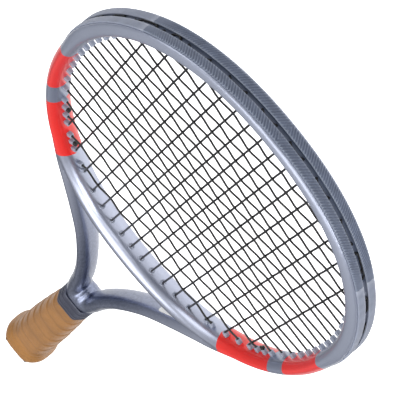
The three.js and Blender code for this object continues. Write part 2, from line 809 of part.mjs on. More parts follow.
function throatLabel() {
  const wall = laneLine(-GAP);
  const { half, thick } = LABEL;
  const section = [[0, -half], [0, half], [-thick, half], [-thick, -half]];
  const shifted = section.map(([u, v]) => [u + LANE_DEPTH, v]);
  return stripBase(wall, LABEL.fromStation, LABEL.toStation, () => shifted);
}

// ---------------------------------------------------------------- the racket

function material(colour, roughness, metalness) {
  return new THREE.MeshStandardMaterial({ color: colour, roughness, metalness });
}

const racket = new THREE.Group();
racket.position.set(0, -LENGTH / 2, BUTT_HALF_THICKNESS);

function place(name, solid, looks) {
  const mesh = new THREE.Mesh(toGeometry(solid), looks);
  mesh.name = name;
  racket.add(mesh);
}

const paint = material(COLOUR.frame, 0.32, 0.55);
const grommetPlastic = material(COLOUR.grommet, 0.55, 0);
const polyString = material(COLOUR.string, 0.35, 0);
const bores = allBores();

place('frame_hairpin', frameHairpin(bores), paint);
place('throat_bridge', throatBridge(bores), material(COLOUR.bridge, 0.3, 0.55));
place('bumper_guard', bumperGuard(), material(COLOUR.bumper, 0.5, 0));
place('bridge_grommet_strip', stripSolid(holesOf('bridge'), STRIP_SECTION, 0.6), grommetPlastic);
for (const [name, side] of [['right', 1], ['left', -1]]) {
  const shoulderHoles = holesOf('shoulder', side);
  place(`side_grommet_strip_${name}`, sideStrip(side), grommetPlastic);
  const shoulder = stripSolid(shoulderHoles, STRIP_SECTION, SIDE_END_ROOM);
  place(`shoulder_grommet_strip_${name}`, shoulder, grommetPlastic);
}
place('throat_label', throatLabel(), material(COLOUR.label, 0.4, 0));
place('main_string', mainString(), polyString);
place('cross_string', crossString(), polyString);

const staples = [];
for (const [name, side] of [['right', 1], ['left', -1]]) {
  for (const [level, face] of [['upper', 1], ['lower', -1]]) {
    staples.push({ name: `cap_staple_${level}_${name}`, side, face });
  }
}
const stapleRoom = union(staples.map(({ side, face }) => stapleSolid(side, face, GAP)));
const tackRoom = tackSolid(GAP);
const fixings = stapleRoom.add(tackRoom);

place('handle_pallet_upper', palletSolid(1).subtract(fixings), material(COLOUR.foam, 0.9, 0));
place('handle_pallet_lower', palletSolid(-1).subtract(fixings), material(COLOUR.foam, 0.9, 0));
place('butt_cap', buttCap().subtract(fixings), material(COLOUR.plastic, 0.45, 0));
place('butt_cap_door', buttCapDoor(), material(COLOUR.plastic, 0.4, 0));
for (const { name, side, face } of staples) {
  place(name, stapleSolid(side, face), material(COLOUR.steel, 0.3, 1));
}
place('grip_tack', tackSolid(), material(COLOUR.steel, 0.3, 1));
place('leather_grip', leatherGrip().subtract(tackRoom), material(COLOUR.leather, 0.6, 0));
place('finishing_tape', finishingTape(), material(COLOUR.tape, 0.6, 0));
place('rubber_collar', rubberCollar(), material(COLOUR.collar, 0.5, 0));

export default racket;
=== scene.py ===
# %% [markdown]
# # A strung tennis racket
# A racket is one long moulded hairpin of carbon and resin, closed across the throat by a
# bridge, laced with two strings and wrapped with a strip of leather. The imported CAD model
# gives every place and size. This lesson hides the plain CAD solids one by one and puts
# finished pieces where they were.

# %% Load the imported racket
import math

import bpy
import numpy as np
from mathutils import Matrix, Vector


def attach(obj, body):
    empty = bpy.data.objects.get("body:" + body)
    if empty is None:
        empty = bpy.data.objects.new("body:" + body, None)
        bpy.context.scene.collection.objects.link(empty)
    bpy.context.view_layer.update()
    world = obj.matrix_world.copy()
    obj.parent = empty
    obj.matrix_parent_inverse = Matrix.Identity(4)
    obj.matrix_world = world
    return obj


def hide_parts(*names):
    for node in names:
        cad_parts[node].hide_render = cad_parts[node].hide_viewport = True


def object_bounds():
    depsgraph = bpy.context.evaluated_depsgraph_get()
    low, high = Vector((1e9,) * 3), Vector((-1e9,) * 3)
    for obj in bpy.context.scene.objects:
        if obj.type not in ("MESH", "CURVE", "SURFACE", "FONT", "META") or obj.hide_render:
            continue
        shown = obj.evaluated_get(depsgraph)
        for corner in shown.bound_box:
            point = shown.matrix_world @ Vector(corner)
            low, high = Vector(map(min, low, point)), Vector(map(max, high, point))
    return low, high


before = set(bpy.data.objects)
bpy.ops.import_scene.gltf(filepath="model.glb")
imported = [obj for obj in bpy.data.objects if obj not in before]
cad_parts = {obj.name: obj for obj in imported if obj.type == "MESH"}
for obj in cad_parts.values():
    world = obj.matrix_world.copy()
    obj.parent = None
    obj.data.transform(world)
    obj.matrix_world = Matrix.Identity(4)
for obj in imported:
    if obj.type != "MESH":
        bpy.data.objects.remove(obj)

cad_low, cad_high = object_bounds()
print("CAD box, m:", [round(v, 4) for v in (*cad_low, *cad_high)])

# %% [markdown]
# The racket was drawn in millimetres from three natural lines: across from its long axis,
# up from its butt, and above or below the plane of the strings. Working in the same numbers
# keeps every later value easy to check against a ruler, so one small helper turns them into
# the metres of this scene.

# %% Millimetres from the butt and the string plane
BUTT_Y = cad_low.y
PLANE_Z = (cad_low.z + cad_high.z) / 2


def metres(points):
    """Rows of (across, up from the butt, above the strings) in mm, as scene metres."""
    made = np.asarray(points, float).reshape(-1, 3) / 1000
    return made + (0.0, BUTT_Y, PLANE_Z)


print("butt at y =", round(BUTT_Y, 4), "m, strings at z =", round(PLANE_Z, 4), "m")

# %% [markdown]
# The camera stands beyond the tip and looks back down the racket, a long lens flattening the
# perspective. It is rolled, so that the racket lies across the picture from lower left to
# upper right. A camera looks along its own minus Z with Y up, so its three axes are written
# out and put in the columns of its matrix.

# %% The camera
camera_data = bpy.data.cameras.new("product_camera")
camera_data.sensor_width = 36
camera_data.lens = 235.9
look = Vector((0.00215, -0.93699, -0.34936)).normalized()
right = look.cross(Vector((-0.7746, 0.2194, -0.5932))).normalized()
camera = bpy.data.objects.new("product_camera", camera_data)
bpy.context.scene.collection.objects.link(camera)
camera.matrix_world = Matrix((right, right.cross(look), -look)).transposed().to_4x4()
camera.matrix_world.translation = (-0.0042, 1.7259, 0.6008)
bpy.context.scene.camera = camera
print("camera", [round(v, 3) for v in camera.matrix_world.translation], camera_data.lens, "mm")

# %% [markdown]
# Product pictures of rackets are lit by one large soft box above the face and white walls all
# round, over a floor that goes clean white. The world is a pale gradient, brighter overhead,
# so that satin paint has something to reflect, and four area lights give the long highlights.

# %% The studio
scene = bpy.context.scene
scene.view_settings.view_transform = "Standard"
world = bpy.data.worlds.new("studio")
scene.world = world
world.use_nodes = True
tree = world.node_tree
tree.nodes.clear()
place = tree.nodes.new("ShaderNodeTexCoord")
split = tree.nodes.new("ShaderNodeSeparateXYZ")
height = tree.nodes.new("ShaderNodeMapRange")
wall = tree.nodes.new("ShaderNodeValToRGB")
sky = tree.nodes.new("ShaderNodeBackground")
out = tree.nodes.new("ShaderNodeOutputWorld")
for step, (node, label) in enumerate((
    (place, "direction looked in"), (split, "how high it points"), (height, "floor to ceiling"),
    (wall, "darker walls, bright ceiling"), (sky, "studio walls"), (out, "world"),
)):
    node.label = label
    node.location = (220 * step, 0)
height.inputs["From Min"].default_value = -1.0
height.inputs["From Max"].default_value = 1.0
wall.color_ramp.elements[0].position = 0.30
wall.color_ramp.elements[0].color = (0.40, 0.42, 0.48, 1)
wall.color_ramp.elements[1].position = 0.95
wall.color_ramp.elements[1].color = (1.0, 1.0, 1.0, 1)
middle = wall.color_ramp.elements.new(0.55)
middle.color = (0.20, 0.22, 0.27, 1)
sky.inputs["Strength"].default_value = 0.65
tree.links.new(place.outputs["Generated"], split.inputs["Vector"])
tree.links.new(split.outputs["Z"], height.inputs["Value"])
tree.links.new(height.outputs["Result"], wall.inputs["Fac"])
tree.links.new(wall.outputs["Color"], sky.inputs["Color"])
tree.links.new(sky.outputs["Background"], out.inputs["Surface"])

LAMPS = (
    ("soft_box_above", (0.2, 0.25, 1.5), 1.5, 16.0),
    ("strip_left", (-1.3, 0.5, 0.7), 0.9, 5.0),
    ("strip_right", (1.4, 0.9, 0.9), 0.9, 11.0),
    ("strip_tip", (0.5, 1.9, 0.9), 0.8, 3.5),
)
for name, place_m, size, power in LAMPS:
    lamp_data = bpy.data.lights.new(name, "AREA")
    lamp_data.shape = "SQUARE"
    lamp_data.size = size
    lamp_data.energy = power
    lamp = bpy.data.objects.new(name, lamp_data)
    scene.collection.objects.link(lamp)
    lamp.location = place_m
    aim = Vector((0, 0.05, 0.02)) - lamp.location
    lamp.rotation_euler = aim.to_track_quat("-Z", "Y").to_euler()
print("studio lights:", [name for name, *_ in LAMPS])

# %% [markdown]
# The floor is far enough below the racket that its shadow spreads out and disappears. Seen
# straight it is pure white paper, but it throws back only a weaker light, so the underside
# and the inner walls of the racket keep their depth.

# %% The floor
floor_paper = bpy.data.materials.new("white_paper_floor")
floor_paper.use_nodes = True
tree = floor_paper.node_tree
tree.nodes.clear()
fibre = tree.nodes.new("ShaderNodeTexNoise")
shade = tree.nodes.new("ShaderNodeValToRGB")
paper = tree.nodes.new("ShaderNodeBsdfPrincipled")
out = tree.nodes.new("ShaderNodeOutputMaterial")
for step, (node, label) in enumerate((
    (fibre, "paper fibre"), (shade, "barely uneven white"), (paper, "matt paper"), (out, "floor"),
)):
    node.label = label
    node.location = (240 * step, 0)
fibre.inputs["Scale"].default_value = 40
shade.color_ramp.elements[0].color = (0.93, 0.93, 0.93, 1)
shade.color_ramp.elements[1].color = (0.97, 0.97, 0.97, 1)
paper.inputs["Roughness"].default_value = 0.9
seen = tree.nodes.new("ShaderNodeLightPath")
seen.label = "seen straight or bounced"
seen.location = (0, -300)
glow = tree.nodes.new("ShaderNodeMapRange")
glow.label = "bright paper, weaker bounce"
glow.location = (240, -300)
glow.inputs["To Min"].default_value = 0.28
glow.inputs["To Max"].default_value = 1.3
paper.inputs["Emission Color"].default_value = (1, 1, 1, 1)
tree.links.new(seen.outputs["Is Camera Ray"], glow.inputs["Value"])
tree.links.new(glow.outputs["Result"], paper.inputs["Emission Strength"])
tree.links.new(fibre.outputs["Fac"], shade.inputs["Fac"])
tree.links.new(shade.outputs["Color"], paper.inputs["Base Color"])
tree.links.new(paper.outputs["BSDF"], out.inputs["Surface"])

FLOOR_HALF = 40.0
FLOOR_Z = -0.6
floor_mesh = bpy.data.meshes.new("studio_floor")
floor_corners = [(-FLOOR_HALF, -FLOOR_HALF, FLOOR_Z), (FLOOR_HALF, -FLOOR_HALF, FLOOR_Z),
                 (FLOOR_HALF, FLOOR_HALF, FLOOR_Z), (-FLOOR_HALF, FLOOR_HALF, FLOOR_Z)]
floor_mesh.from_pydata(floor_corners, [], [(0, 1, 2, 3)])
floor = bpy.data.objects.new("studio_floor", floor_mesh)
floor.data.materials.append(floor_paper)
scene.collection.objects.link(floor)
print("floor", 2 * FLOOR_HALF, "m square at z =", FLOOR_Z)

# %% [markdown]
# ## Outline
# The inside of the head is a superellipse: an ellipse whose corners are filled a little. Its
# power, 2.17, is only just above the 2 of an ellipse. Everything on the head is measured from
# this one curve, so its point, its outward direction and its reach come first.

# %% The head's inner wall
HEAD_CENTRE = 508.35
HEAD_HALF_LENGTH = 163.65
HEAD_HALF_WIDTH = 122.2
HEAD_POWER = 2.17


def rim_point(angle):
    """A point of the inner wall; angle 0 is the tip and it grows towards +X."""
    def eased(value):
        return math.copysign(abs(value) ** (2 / HEAD_POWER), value)
    across = HEAD_HALF_WIDTH * eased(math.sin(angle))
    return Vector((across, HEAD_CENTRE + HEAD_HALF_LENGTH * eased(math.cos(angle))))


def rim_normal(point):
    def slope(value, half):
        return math.copysign(abs(value / half) ** (HEAD_POWER - 1), value) / half
    outwards = (slope(point.x, HEAD_HALF_WIDTH), slope(point.y - HEAD_CENTRE, HEAD_HALF_LENGTH))
    return Vector(outwards).normalized()


def rim_reach(offset, across, along):
    """How far the curve of these half sizes reaches from its centre at this offset."""
    return along * (1 - abs(offset / across) ** HEAD_POWER) ** (1 / HEAD_POWER)


print("head inside, mm:", 2 * HEAD_HALF_LENGTH, "by", 2 * HEAD_HALF_WIDTH)

# %% [markdown]
# The hairpin runs up one side of the handle, out along an arm, round the head and back down.
# The arms were measured at a few points only, so a smooth spline through them gives the fine
# stations that a glossy surface needs.

# %% The hairpin's centre line
BEAM_WIDTH = 11.3
HOOP_HALF_ANGLE = math.radians(133)
ARM_POINTS = [
    (4.9, 10), (4.9, 100), (4.9, 173), (6.2, 187), (8.9, 200), (12.6, 222), (18.3, 246),
    (27.0, 272), (37.4, 296), (50.8, 319), (68.6, 346), (82.4, 366),
]


def rim_centre(angle):
    wall = rim_point(angle)
    return wall + rim_normal(wall) * (BEAM_WIDTH / 2)


def smooth_line(points, step):
    """A spline through the points, in pieces of about this step, without the last point."""
    made = []
    for i in range(1, len(points) - 2):
        before, here, there, after = points[i - 1:i + 3]
        span = (there - here).length
        leave = (there - before) / ((there - before).length or 1) * span
        arrive = (after - here) / ((after - here).length or 1) * span
        count = max(1, round(span / step))
        for k in range(count):
            t = k / count
            made.append(
                here * (2 * t**3 - 3 * t**2 + 1) + leave * (t**3 - 2 * t**2 + t)
                + there * (3 * t**2 - 2 * t**3) + arrive * (t**3 - t**2)
            )
    return made


arm = [Vector(p) for p in ARM_POINTS]
hoop = [rim_centre(HOOP_HALF_ANGLE * (1 - i / 75)) for i in range(151)]
ARM_LINE = smooth_line([arm[0], *arm, hoop[0], hoop[1]], 4.0)
LINE = [*ARM_LINE, *hoop, *[Vector((-p.x, p.y)) for p in reversed(ARM_LINE)]]
BESIDE = []
for i in range(len(LINE)):
    along = (LINE[min(i + 1, len(LINE) - 1)] - LINE[max(i - 1, 0)]).normalized()
    BESIDE.append(Vector((along.y, -along.x)))
line_length = sum((a - b).length for a, b in zip(LINE, LINE[1:]))
print("centre line:", len(LINE), "stations,", round(line_length), "mm")

# %% [markdown]
# ## Meshes from rings
# Most pieces here are skins stretched over rings of points, like a ship's planks over its
# ribs. One helper joins the rings with four-sided faces and closes the ends, or joins the last
# ring to the first. Another turns finished points and faces into an object, turned outwards,
# that rides on the racket and hides the CAD solids it stands for.

# %% Skins and pieces
def skin(rings, loop=False):
    """Points and faces over rings with equally many points; loop joins last to first."""
    rings = np.asarray(rings, float)
    count, around = rings.shape[:2]
    faces = []
    for r in range(count if loop else count - 1):
        a, b = r * around, ((r + 1) % count) * around
        faces += [(a + i, a + (i + 1) % around, b + (i + 1) % around, b + i) for i in range(around)]
    if not loop:
        faces.append(tuple(reversed(range(around))))
        faces.append(tuple(range((count - 1) * around, count * around)))
    return rings.reshape(-1, 3), faces


def outward(points, faces):
    """The same faces, turned so that they look out of the closed body."""
    volume = 0.0
    for face in faces:
        first = points[face[0]]
        for b, c in zip(face[1:], face[2:]):
            volume += np.dot(first, np.cross(points[b], points[c]))
    return faces if volume > 0 else [tuple(reversed(face)) for face in faces]


def piece(name, bodies, sharp=None):
    """One mesh object from several closed bodies of (points, faces), in mm."""
    points, faces = [], []
    for body_points, body_faces in bodies:
        start = sum(len(p) for p in points)
        turned = outward(body_points, body_faces)
        faces += [tuple(start + i for i in face) for face in turned]
        points.append(body_points)
    mesh = bpy.data.meshes.new(name)
    mesh.from_pydata(metres(np.concatenate(points)).tolist(), [], faces)
    mesh.polygons.foreach_set("use_smooth", [True] * len(mesh.polygons))
    if sharp:
        mesh.set_sharp_from_angle(angle=math.radians(sharp))
    made = bpy.data.objects.new(name, mesh)
    scene.collection.objects.link(made)
    return made


def stand_for(made, nodes, body="racket"):
    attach(made, body)
    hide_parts(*nodes)
    faces = len(made.data.polygons)
    print(f"{made.name}: {faces} faces, stands for {', '.join(nodes)}")


print("helpers ready: skin, outward, piece, stand_for")

# %% [markdown]
# ## The frame
# In section the beam is flat inside, where the strings enter, rises over a soft crest and
# falls away in a broad bevel to the groove that takes the grommet strips. The corners are cut
# twice, which rounds them without losing the flats between. Round the tip the outer bevel is
# squared off to carry the guard, and by the collar the shaft swells to fill it.

# %% The beam's section
GROOVE_FLOOR = 9.7
GROOVE_HALF = 3.1


def both_faces(upper):
    """The upper half of a section, with its mirror image below the strings."""
    return [*upper, *[(u, -v) for u, v in reversed(upper)]]


def rounded(section, times=2):
    """Cuts each corner of a section at a fifth of its sides."""
    for _ in range(times):
        cut = []
        for (u0, v0), (u1, v1) in zip(section, [*section[1:], section[0]]):
            cut.append((u0 * 0.8 + u1 * 0.2, v0 * 0.8 + v1 * 0.2))
            cut.append((u0 * 0.2 + u1 * 0.8, v0 * 0.2 + v1 * 0.8))
        section = cut
    return section


def beam_section(groove_floor, square=0.0):
    """At the tip the outer bevel is squared off to carry the guard; square is then 1."""
    plain = [(5.4, 10.3), (9.4, 7.6), (BEAM_WIDTH, 4.6), (BEAM_WIDTH, GROOVE_HALF + 0.2)]
    squared = [(5.4, 10.3), (10.6, 9.6), (12.7, 7.9), (11.4, 6.6)]
    outer = [(a[0] + (b[0] - a[0]) * square, a[1] + (b[1] - a[1]) * square)
             for a, b in zip(plain, squared)]
    return both_faces([(0, 5.4), (3.4, 9.6), *outer, (groove_floor, GROOVE_HALF)])


def bridge_section(weight):
    """The bridge is squarer towards the throat; weight 0 is the plain beam."""
    crown = [(0, 4.8), (2.8, 8.8), (5.4, 10.1), (9.8, 10.0), (BEAM_WIDTH, 8.4),
             (BEAM_WIDTH, 3.3), (GROOVE_FLOOR, GROOVE_HALF)]
    plain = beam_section(GROOVE_FLOOR)[:len(crown)]
    mixed = [(a[0] + (b[0] - a[0]) * weight, a[1] + (b[1] - a[1]) * weight)
             for a, b in zip(plain, crown)]
    return both_faces(mixed)


def eased_step(low, high, value):
    t = min(max((value - low) / (high - low), 0.0), 1.0)
    return t * t * (3 - 2 * t)


FLARE = [(173, 0.0, 1.0), (187, 2.3, 1.19), (200, 1.8, 1.14), (222, 0.7, 1.05), (246, 0.0, 1.0)]


def flared(section, y):
    """The shaft swells outwards and gets thicker towards the collar."""
    added, thicker = [float(np.interp(y, [f[0] for f in FLARE], [f[k] for f in FLARE])) for k in (1, 2)]
    return [(u + added * max(0.0, 2 * u / BEAM_WIDTH - 1), v * thicker) for u, v in section]


def ring_across(point, outwards, section):
    """Puts a section across a line; u = 0 is the inner wall."""
    return [(point.x + outwards.x * (u - BEAM_WIDTH / 2), point.y + outwards.y * (u - BEAM_WIDTH / 2), v)
            for u, v in section]


print("section corners:", len(rounded(beam_section(GROOVE_FLOOR))))

# %% [markdown]
# The real frame has no seams: hairpin, bridge and the web in the throat's point are cured
# together in one mould and sanded smooth. A boolean union would leave hard lines where they
# meet. A voxel remesh melts overlapping skins into one surface instead, and a light smoothing
# after it gives the small fillets of the moulding, so that is what is used here.

# %% Hairpin, bridge and web in one skin
VOXEL_M = 0.00095


def groove_floor_at(point):
    """The groove is full depth round the hoop and fades out down the arms."""
    return BEAM_WIDTH + (GROOVE_FLOOR - BEAM_WIDTH) * eased_step(275, 305, point.y)


SQUARE_FROM_Y = 498
SQUARE_FULL_Y = 560


def leg_section(point):
    square = eased_step(SQUARE_FROM_Y, SQUARE_FULL_Y, point.y)
    return rounded(flared(beam_section(groove_floor_at(point), square), point.y))


legs = [ring_across(p, n, leg_section(p)) for p, n in zip(LINE, BESIDE)]
half = len(legs) // 2
bridge_rings = []
for i in range(61):
    turn = math.radians(47.5) * (i / 30 - 1)
    weight = 1 - eased_step(0.45, 0.85, abs(turn) / math.radians(46))
    wall = rim_point(math.pi + turn)
    across = rim_normal(wall)
    section = rounded(bridge_section(weight))
    bridge_rings.append(ring_across(wall + across * (BEAM_WIDTH / 2), across, section))

WEB_HALF = 11.6
WEB_NOSE_DROP = 7.5
WEB_NOSE_POWER = 2.4
web_rings = []
for height in np.linspace(-WEB_HALF, WEB_HALF, 29):
    drop = WEB_NOSE_DROP * abs(height / WEB_HALF) ** WEB_NOSE_POWER
    web_rings.append([
        (-5.0, 150, height), (5.0, 150, height), (5.6, 196 - drop, height), (2.3, 200.6 - drop, height),
        (0.7, 205.6 - drop, height), (-0.7, 205.6 - drop, height), (-2.3, 200.6 - drop, height),
        (-5.6, 196 - drop, height),
    ])
raw_frame = piece("raw_frame", [
    skin(legs[:half + 1]), skin(legs[half:]), skin(bridge_rings), skin(web_rings),
])
melt = raw_frame.modifiers.new("melt together", "REMESH")
melt.mode = "VOXEL"
melt.voxel_size = VOXEL_M
sand = raw_frame.modifiers.new("sand smooth", "SMOOTH")
sand.factor = 0.5
sand.iterations = 8
frame_mesh = bpy.data.meshes.new_from_object(
    raw_frame.evaluated_get(bpy.context.evaluated_depsgraph_get())
)
bpy.data.objects.remove(raw_frame)
frame_mesh.polygons.foreach_set("use_smooth", [True] * len(frame_mesh.polygons))

# The throat's point is sanded much more than the rest
WEB_Y = 200
WEB_ROOM = 17
WEB_PASSES = 60
WEB_SANDING = 0.6
WEB_FADE = 1.6
WEB_REACH = 1.2
count = len(frame_mesh.vertices)
spots = np.empty(count * 3)
frame_mesh.vertices.foreach_get("co", spots)
spots = spots.reshape(-1, 3)
edges = np.empty(len(frame_mesh.edges) * 2, int)
frame_mesh.edges.foreach_get("vertices", edges)
edges = edges.reshape(-1, 2)
web_middle = metres([(0, WEB_Y, 0)])[0]
away = np.linalg.norm((spots - web_middle)[:, :2], axis=1) * 1000 / WEB_ROOM
soften = np.clip(WEB_FADE * (1 - away), 0, 1)[:, None] * WEB_SANDING
near = edges[(away[edges] < WEB_REACH).all(axis=1)]
ties = np.zeros(count)
np.add.at(ties, near.ravel(), 1)
for _ in range(WEB_PASSES):
    pulled = np.zeros_like(spots)
    np.add.at(pulled, near[:, 0], spots[near[:, 1]])
    np.add.at(pulled, near[:, 1], spots[near[:, 0]])
    middle_of = pulled / np.maximum(ties, 1)[:, None]
    spots = np.where(ties[:, None] > 2, spots + (middle_of - spots) * soften, spots)
frame_mesh.vertices.foreach_set("co", spots.ravel())
frame_mesh.update()
moulded_frame = bpy.data.objects.new("moulded_frame", frame_mesh)
scene.collection.objects.link(moulded_frame)
stand_for(moulded_frame, ["frame_hairpin", "throat_bridge"])

# %% [markdown]
# ## Where the holes are
# Sixteen mains run the long way and twenty crosses run over and under them. The spacing is
# even in the middle and opens out towards the rim. Each string end passes through a hole that
# is square to the rim, except the middle mains, whose holes in the bridge run straight down.

# %% String spacing and holes
CROSSES = 20
MAINS_PER_SIDE = 8
BRIDGE_MAINS = 5
SLEEVE_PROUD = 3.5
LANE_DEPTH = 11.5
BUMPER_FROM_Y = 622
SHOULDER_TO_Y = 427


def main_offset(number):
    k = number - 0.5
    return 11 * k + 0.0308 * k**3


def cross_height(number):
    k = (CROSSES + 1) / 2 - number
    spread = 0.0007 if k > 0 else 0.0031
    return 517.65 + 12.5 * k + math.copysign(spread * k**4, k)


def meets(mouth, direction, lane):
    """How far along a ray a lane is met, and where on the lane, in whole and part steps."""
    best = None
    for i in range(len(lane) - 1):
        edge = lane[i + 1] - lane[i]
        start = lane[i] - mouth
        turn = direction.cross(edge)
        if abs(turn) < 1e-9:
            continue
        reach = start.cross(edge) / turn
        share = start.cross(direction) / turn
        if 0 <= share <= 1 and reach > 0 and (best is None or reach < best[0]):
            best = (reach, i + share)
    return best


OUTER_LANE = [p + n * (LANE_DEPTH - BEAM_WIDTH / 2) for p, n in zip(LINE, BESIDE)]
BRIDGE_LANE = []
for i in range(61):
    wall = rim_point(math.pi + math.radians(34) * (1 - i / 30))
    BRIDGE_LANE.append(wall + rim_normal(wall) * LANE_DEPTH)


class Hole:
    """A drilled hole: its mouth inside the head, its direction out, and its strip."""

    def __init__(self, mouth, direction, strip):
        self.mouth, self.direction, self.strip = mouth, direction, strip
        self.lane = BRIDGE_LANE if strip == "bridge" else OUTER_LANE
        self.reach, self.at = meets(mouth, direction, self.lane)
        self.exit = mouth + direction * self.reach


def rim_hole(mouth):
    strip = "bumper" if mouth.y > BUMPER_FROM_Y else "side" if mouth.y > SHOULDER_TO_Y else "shoulder"
    return Hole(mouth, rim_normal(mouth), strip)


def main_hole(number, end):
    across = math.copysign(main_offset(abs(number)), number)
    if end < 0 and abs(number) <= BRIDGE_MAINS:
        low = HEAD_CENTRE - rim_reach(across, HEAD_HALF_WIDTH, HEAD_HALF_LENGTH) + 0.4
        return Hole(Vector((across, low)), Vector((0, -1)), "bridge")
    reach = rim_reach(across, HEAD_HALF_WIDTH - SLEEVE_PROUD, HEAD_HALF_LENGTH - SLEEVE_PROUD)
    return rim_hole(Vector((across, HEAD_CENTRE + end * reach)))


def cross_hole(number, side):
    up = cross_height(number)
    reach = rim_reach(up - HEAD_CENTRE, HEAD_HALF_LENGTH - SLEEVE_PROUD, HEAD_HALF_WIDTH - SLEEVE_PROUD)
    return rim_hole(Vector((side * reach, up)))


MAINS = [n for n in range(-MAINS_PER_SIDE, MAINS_PER_SIDE + 1) if n]
MAIN_HOLES = {(n, end): main_hole(n, end) for n in MAINS for end in (1, -1)}
CROSS_HOLES = {(n, side): cross_hole(n, side) for n in range(1, CROSSES + 1) for side in (1, -1)}


def tie_hole(first, second):
    return rim_hole(first.mouth.lerp(second.mouth, 0.5))


TIE_HOLES = {
    "main_right": tie_hole(CROSS_HOLES[18, 1], CROSS_HOLES[17, 1]),
    "main_left": tie_hole(CROSS_HOLES[18, -1], CROSS_HOLES[17, -1]),
    "cross_start": tie_hole(CROSS_HOLES[1, -1], MAIN_HOLES[-7, 1]),
    "cross_end": tie_hole(MAIN_HOLES[-7, -1], CROSS_HOLES[19, -1]),
}
HOLES = [*MAIN_HOLES.values(), *CROSS_HOLES.values(), *TIE_HOLES.values()]
per_strip = {s: sum(h.strip == s for h in HOLES) for s in ("bumper", "side", "shoulder", "bridge")}
print("holes:", len(HOLES), per_strip)

# %% [markdown]
# ## Strings
# A player's racket is laced with two lengths of monofilament, one for the mains and one for
# the crosses. Each leaves through a hole, runs along the groove outside the frame and comes
# back in through the next. The path is worked out as a chain of points, eased over and under
# at every crossing, and a round section is swept along it.

# %% The path of each string
STRING_RADIUS = 0.76
WEAVE = 0.6
MAIN_LANE_Z = 1.4
CROSS_LANE_Z = -1.4
WEAVE_STEPS = 4
TURN_IN = 2.4


def woven(start, end, shares, sign):
    """From mouth to mouth, over and under at these shares of the way."""
    marks = [(0.0, 0.0)]
    for share in shares:
        marks.append((share, sign * WEAVE))
        sign = -sign
    marks.append((1.0, 0.0))
    made = []
    for (a, za), (b, zb) in zip(marks, marks[1:]):
        for k in range(WEAVE_STEPS):
            t = k / WEAVE_STEPS
            flat = start.lerp(end, a + (b - a) * t)
            made.append((flat.x, flat.y, za + (zb - za) * (1 - math.cos(math.pi * t)) / 2))
    return [*made, (end.x, end.y, 0.0)]


def lane_point(lane, at):
    i = min(max(int(at), 0), len(lane) - 2)
    return lane[i].lerp(lane[i + 1], at - i)


def outer_loop(first, second, height):
    """Out of one hole, along the groove at this height and into the next."""
    lane = first.lane
    way = 1 if second.at > first.at else -1
    i = min(max(int(first.at), 0), len(lane) - 2)
    bend = TURN_IN / (lane[i + 1] - lane[i]).length * way
    count = max(2, round(abs(second.at - first.at - 2 * bend)))
    made = [(*first.exit, 0.0)]
    for k in range(count + 1):
        at = first.at + bend + (second.at - first.at - 2 * bend) * k / count
        made.append((*lane_point(lane, at), height))
    return [*made, (*second.exit, 0.0)]


def main_span(number):
    across = math.copysign(main_offset(abs(number)), number)
    low, high = MAIN_HOLES[number, -1].mouth, MAIN_HOLES[number, 1].mouth
    met = [n for n in range(CROSSES, 0, -1) if abs(across) < abs(CROSS_HOLES[n, 1].mouth.x)]
    column = number + MAINS_PER_SIDE - (1 if number > 0 else 0)
    shares = [(cross_height(n) - low.y) / (high.y - low.y) for n in met]
    return woven(low, high, shares, 1 if (column + met[0]) % 2 == 0 else -1)


def cross_span(number):
    left, right_end = CROSS_HOLES[number, -1].mouth, CROSS_HOLES[number, 1].mouth
    met = [n for n in MAINS if MAIN_HOLES[n, -1].mouth.y < left.y < MAIN_HOLES[n, 1].mouth.y]
    spots = [math.copysign(main_offset(abs(n)), n) for n in met]
    shares = [(x - left.x) / (right_end.x - left.x) for x in spots]
    return woven(left, right_end, shares, -1 if (met[0] + MAINS_PER_SIDE + number) % 2 == 0 else 1)


def tied_end(last, tie, height):
    """Round the outside, in through the tie-off hole and on to the knot."""
    knot_at = tie.mouth - tie.direction * 2.2
    return [*outer_loop(last, tie, height), (*tie.mouth, 0.0), (*knot_at, 0.0)]


main_path = list(reversed(tied_end(MAIN_HOLES[-8, -1], TIE_HOLES["main_left"], MAIN_LANE_Z)))
for i, number in enumerate(MAINS):
    span = main_span(number)
    end = 1 if i % 2 == 0 else -1
    main_path += span if end == 1 else list(reversed(span))
    if i + 1 < len(MAINS):
        main_path += outer_loop(MAIN_HOLES[number, end], MAIN_HOLES[MAINS[i + 1], end], MAIN_LANE_Z)
main_path += tied_end(MAIN_HOLES[8, -1], TIE_HOLES["main_right"], MAIN_LANE_Z)

cross_path = list(reversed(tied_end(CROSS_HOLES[1, -1], TIE_HOLES["cross_start"], CROSS_LANE_Z)))
for number in range(1, CROSSES + 1):
    side = 1 if number % 2 == 1 else -1
    span = cross_span(number)
    cross_path += span if side == 1 else list(reversed(span))
    if number < CROSSES:
        cross_path += outer_loop(CROSS_HOLES[number, side], CROSS_HOLES[number + 1, side], CROSS_LANE_Z)
cross_path += tied_end(CROSS_HOLES[20, -1], TIE_HOLES["cross_end"], CROSS_LANE_Z)
for label, path in (("mains", main_path), ("crosses", cross_path)):
    steps = np.linalg.norm(np.diff(np.array(path), axis=0), axis=1)
    print(label, "string:", len(path), "points,", round(float(steps.sum()) / 1000, 2), "m")

# %% [markdown]
# A round section needs a steady frame to be swept in. The strings never stand upright, so the
# level direction square to the path is always there to measure from, and nothing twists.
# The knots are half hitches pulled tight: a ball of string turns, modelled as a small coil.

# %% Sweeping the round section
STRING_SIDES = 8
SHORTEST_STEP = 0.02


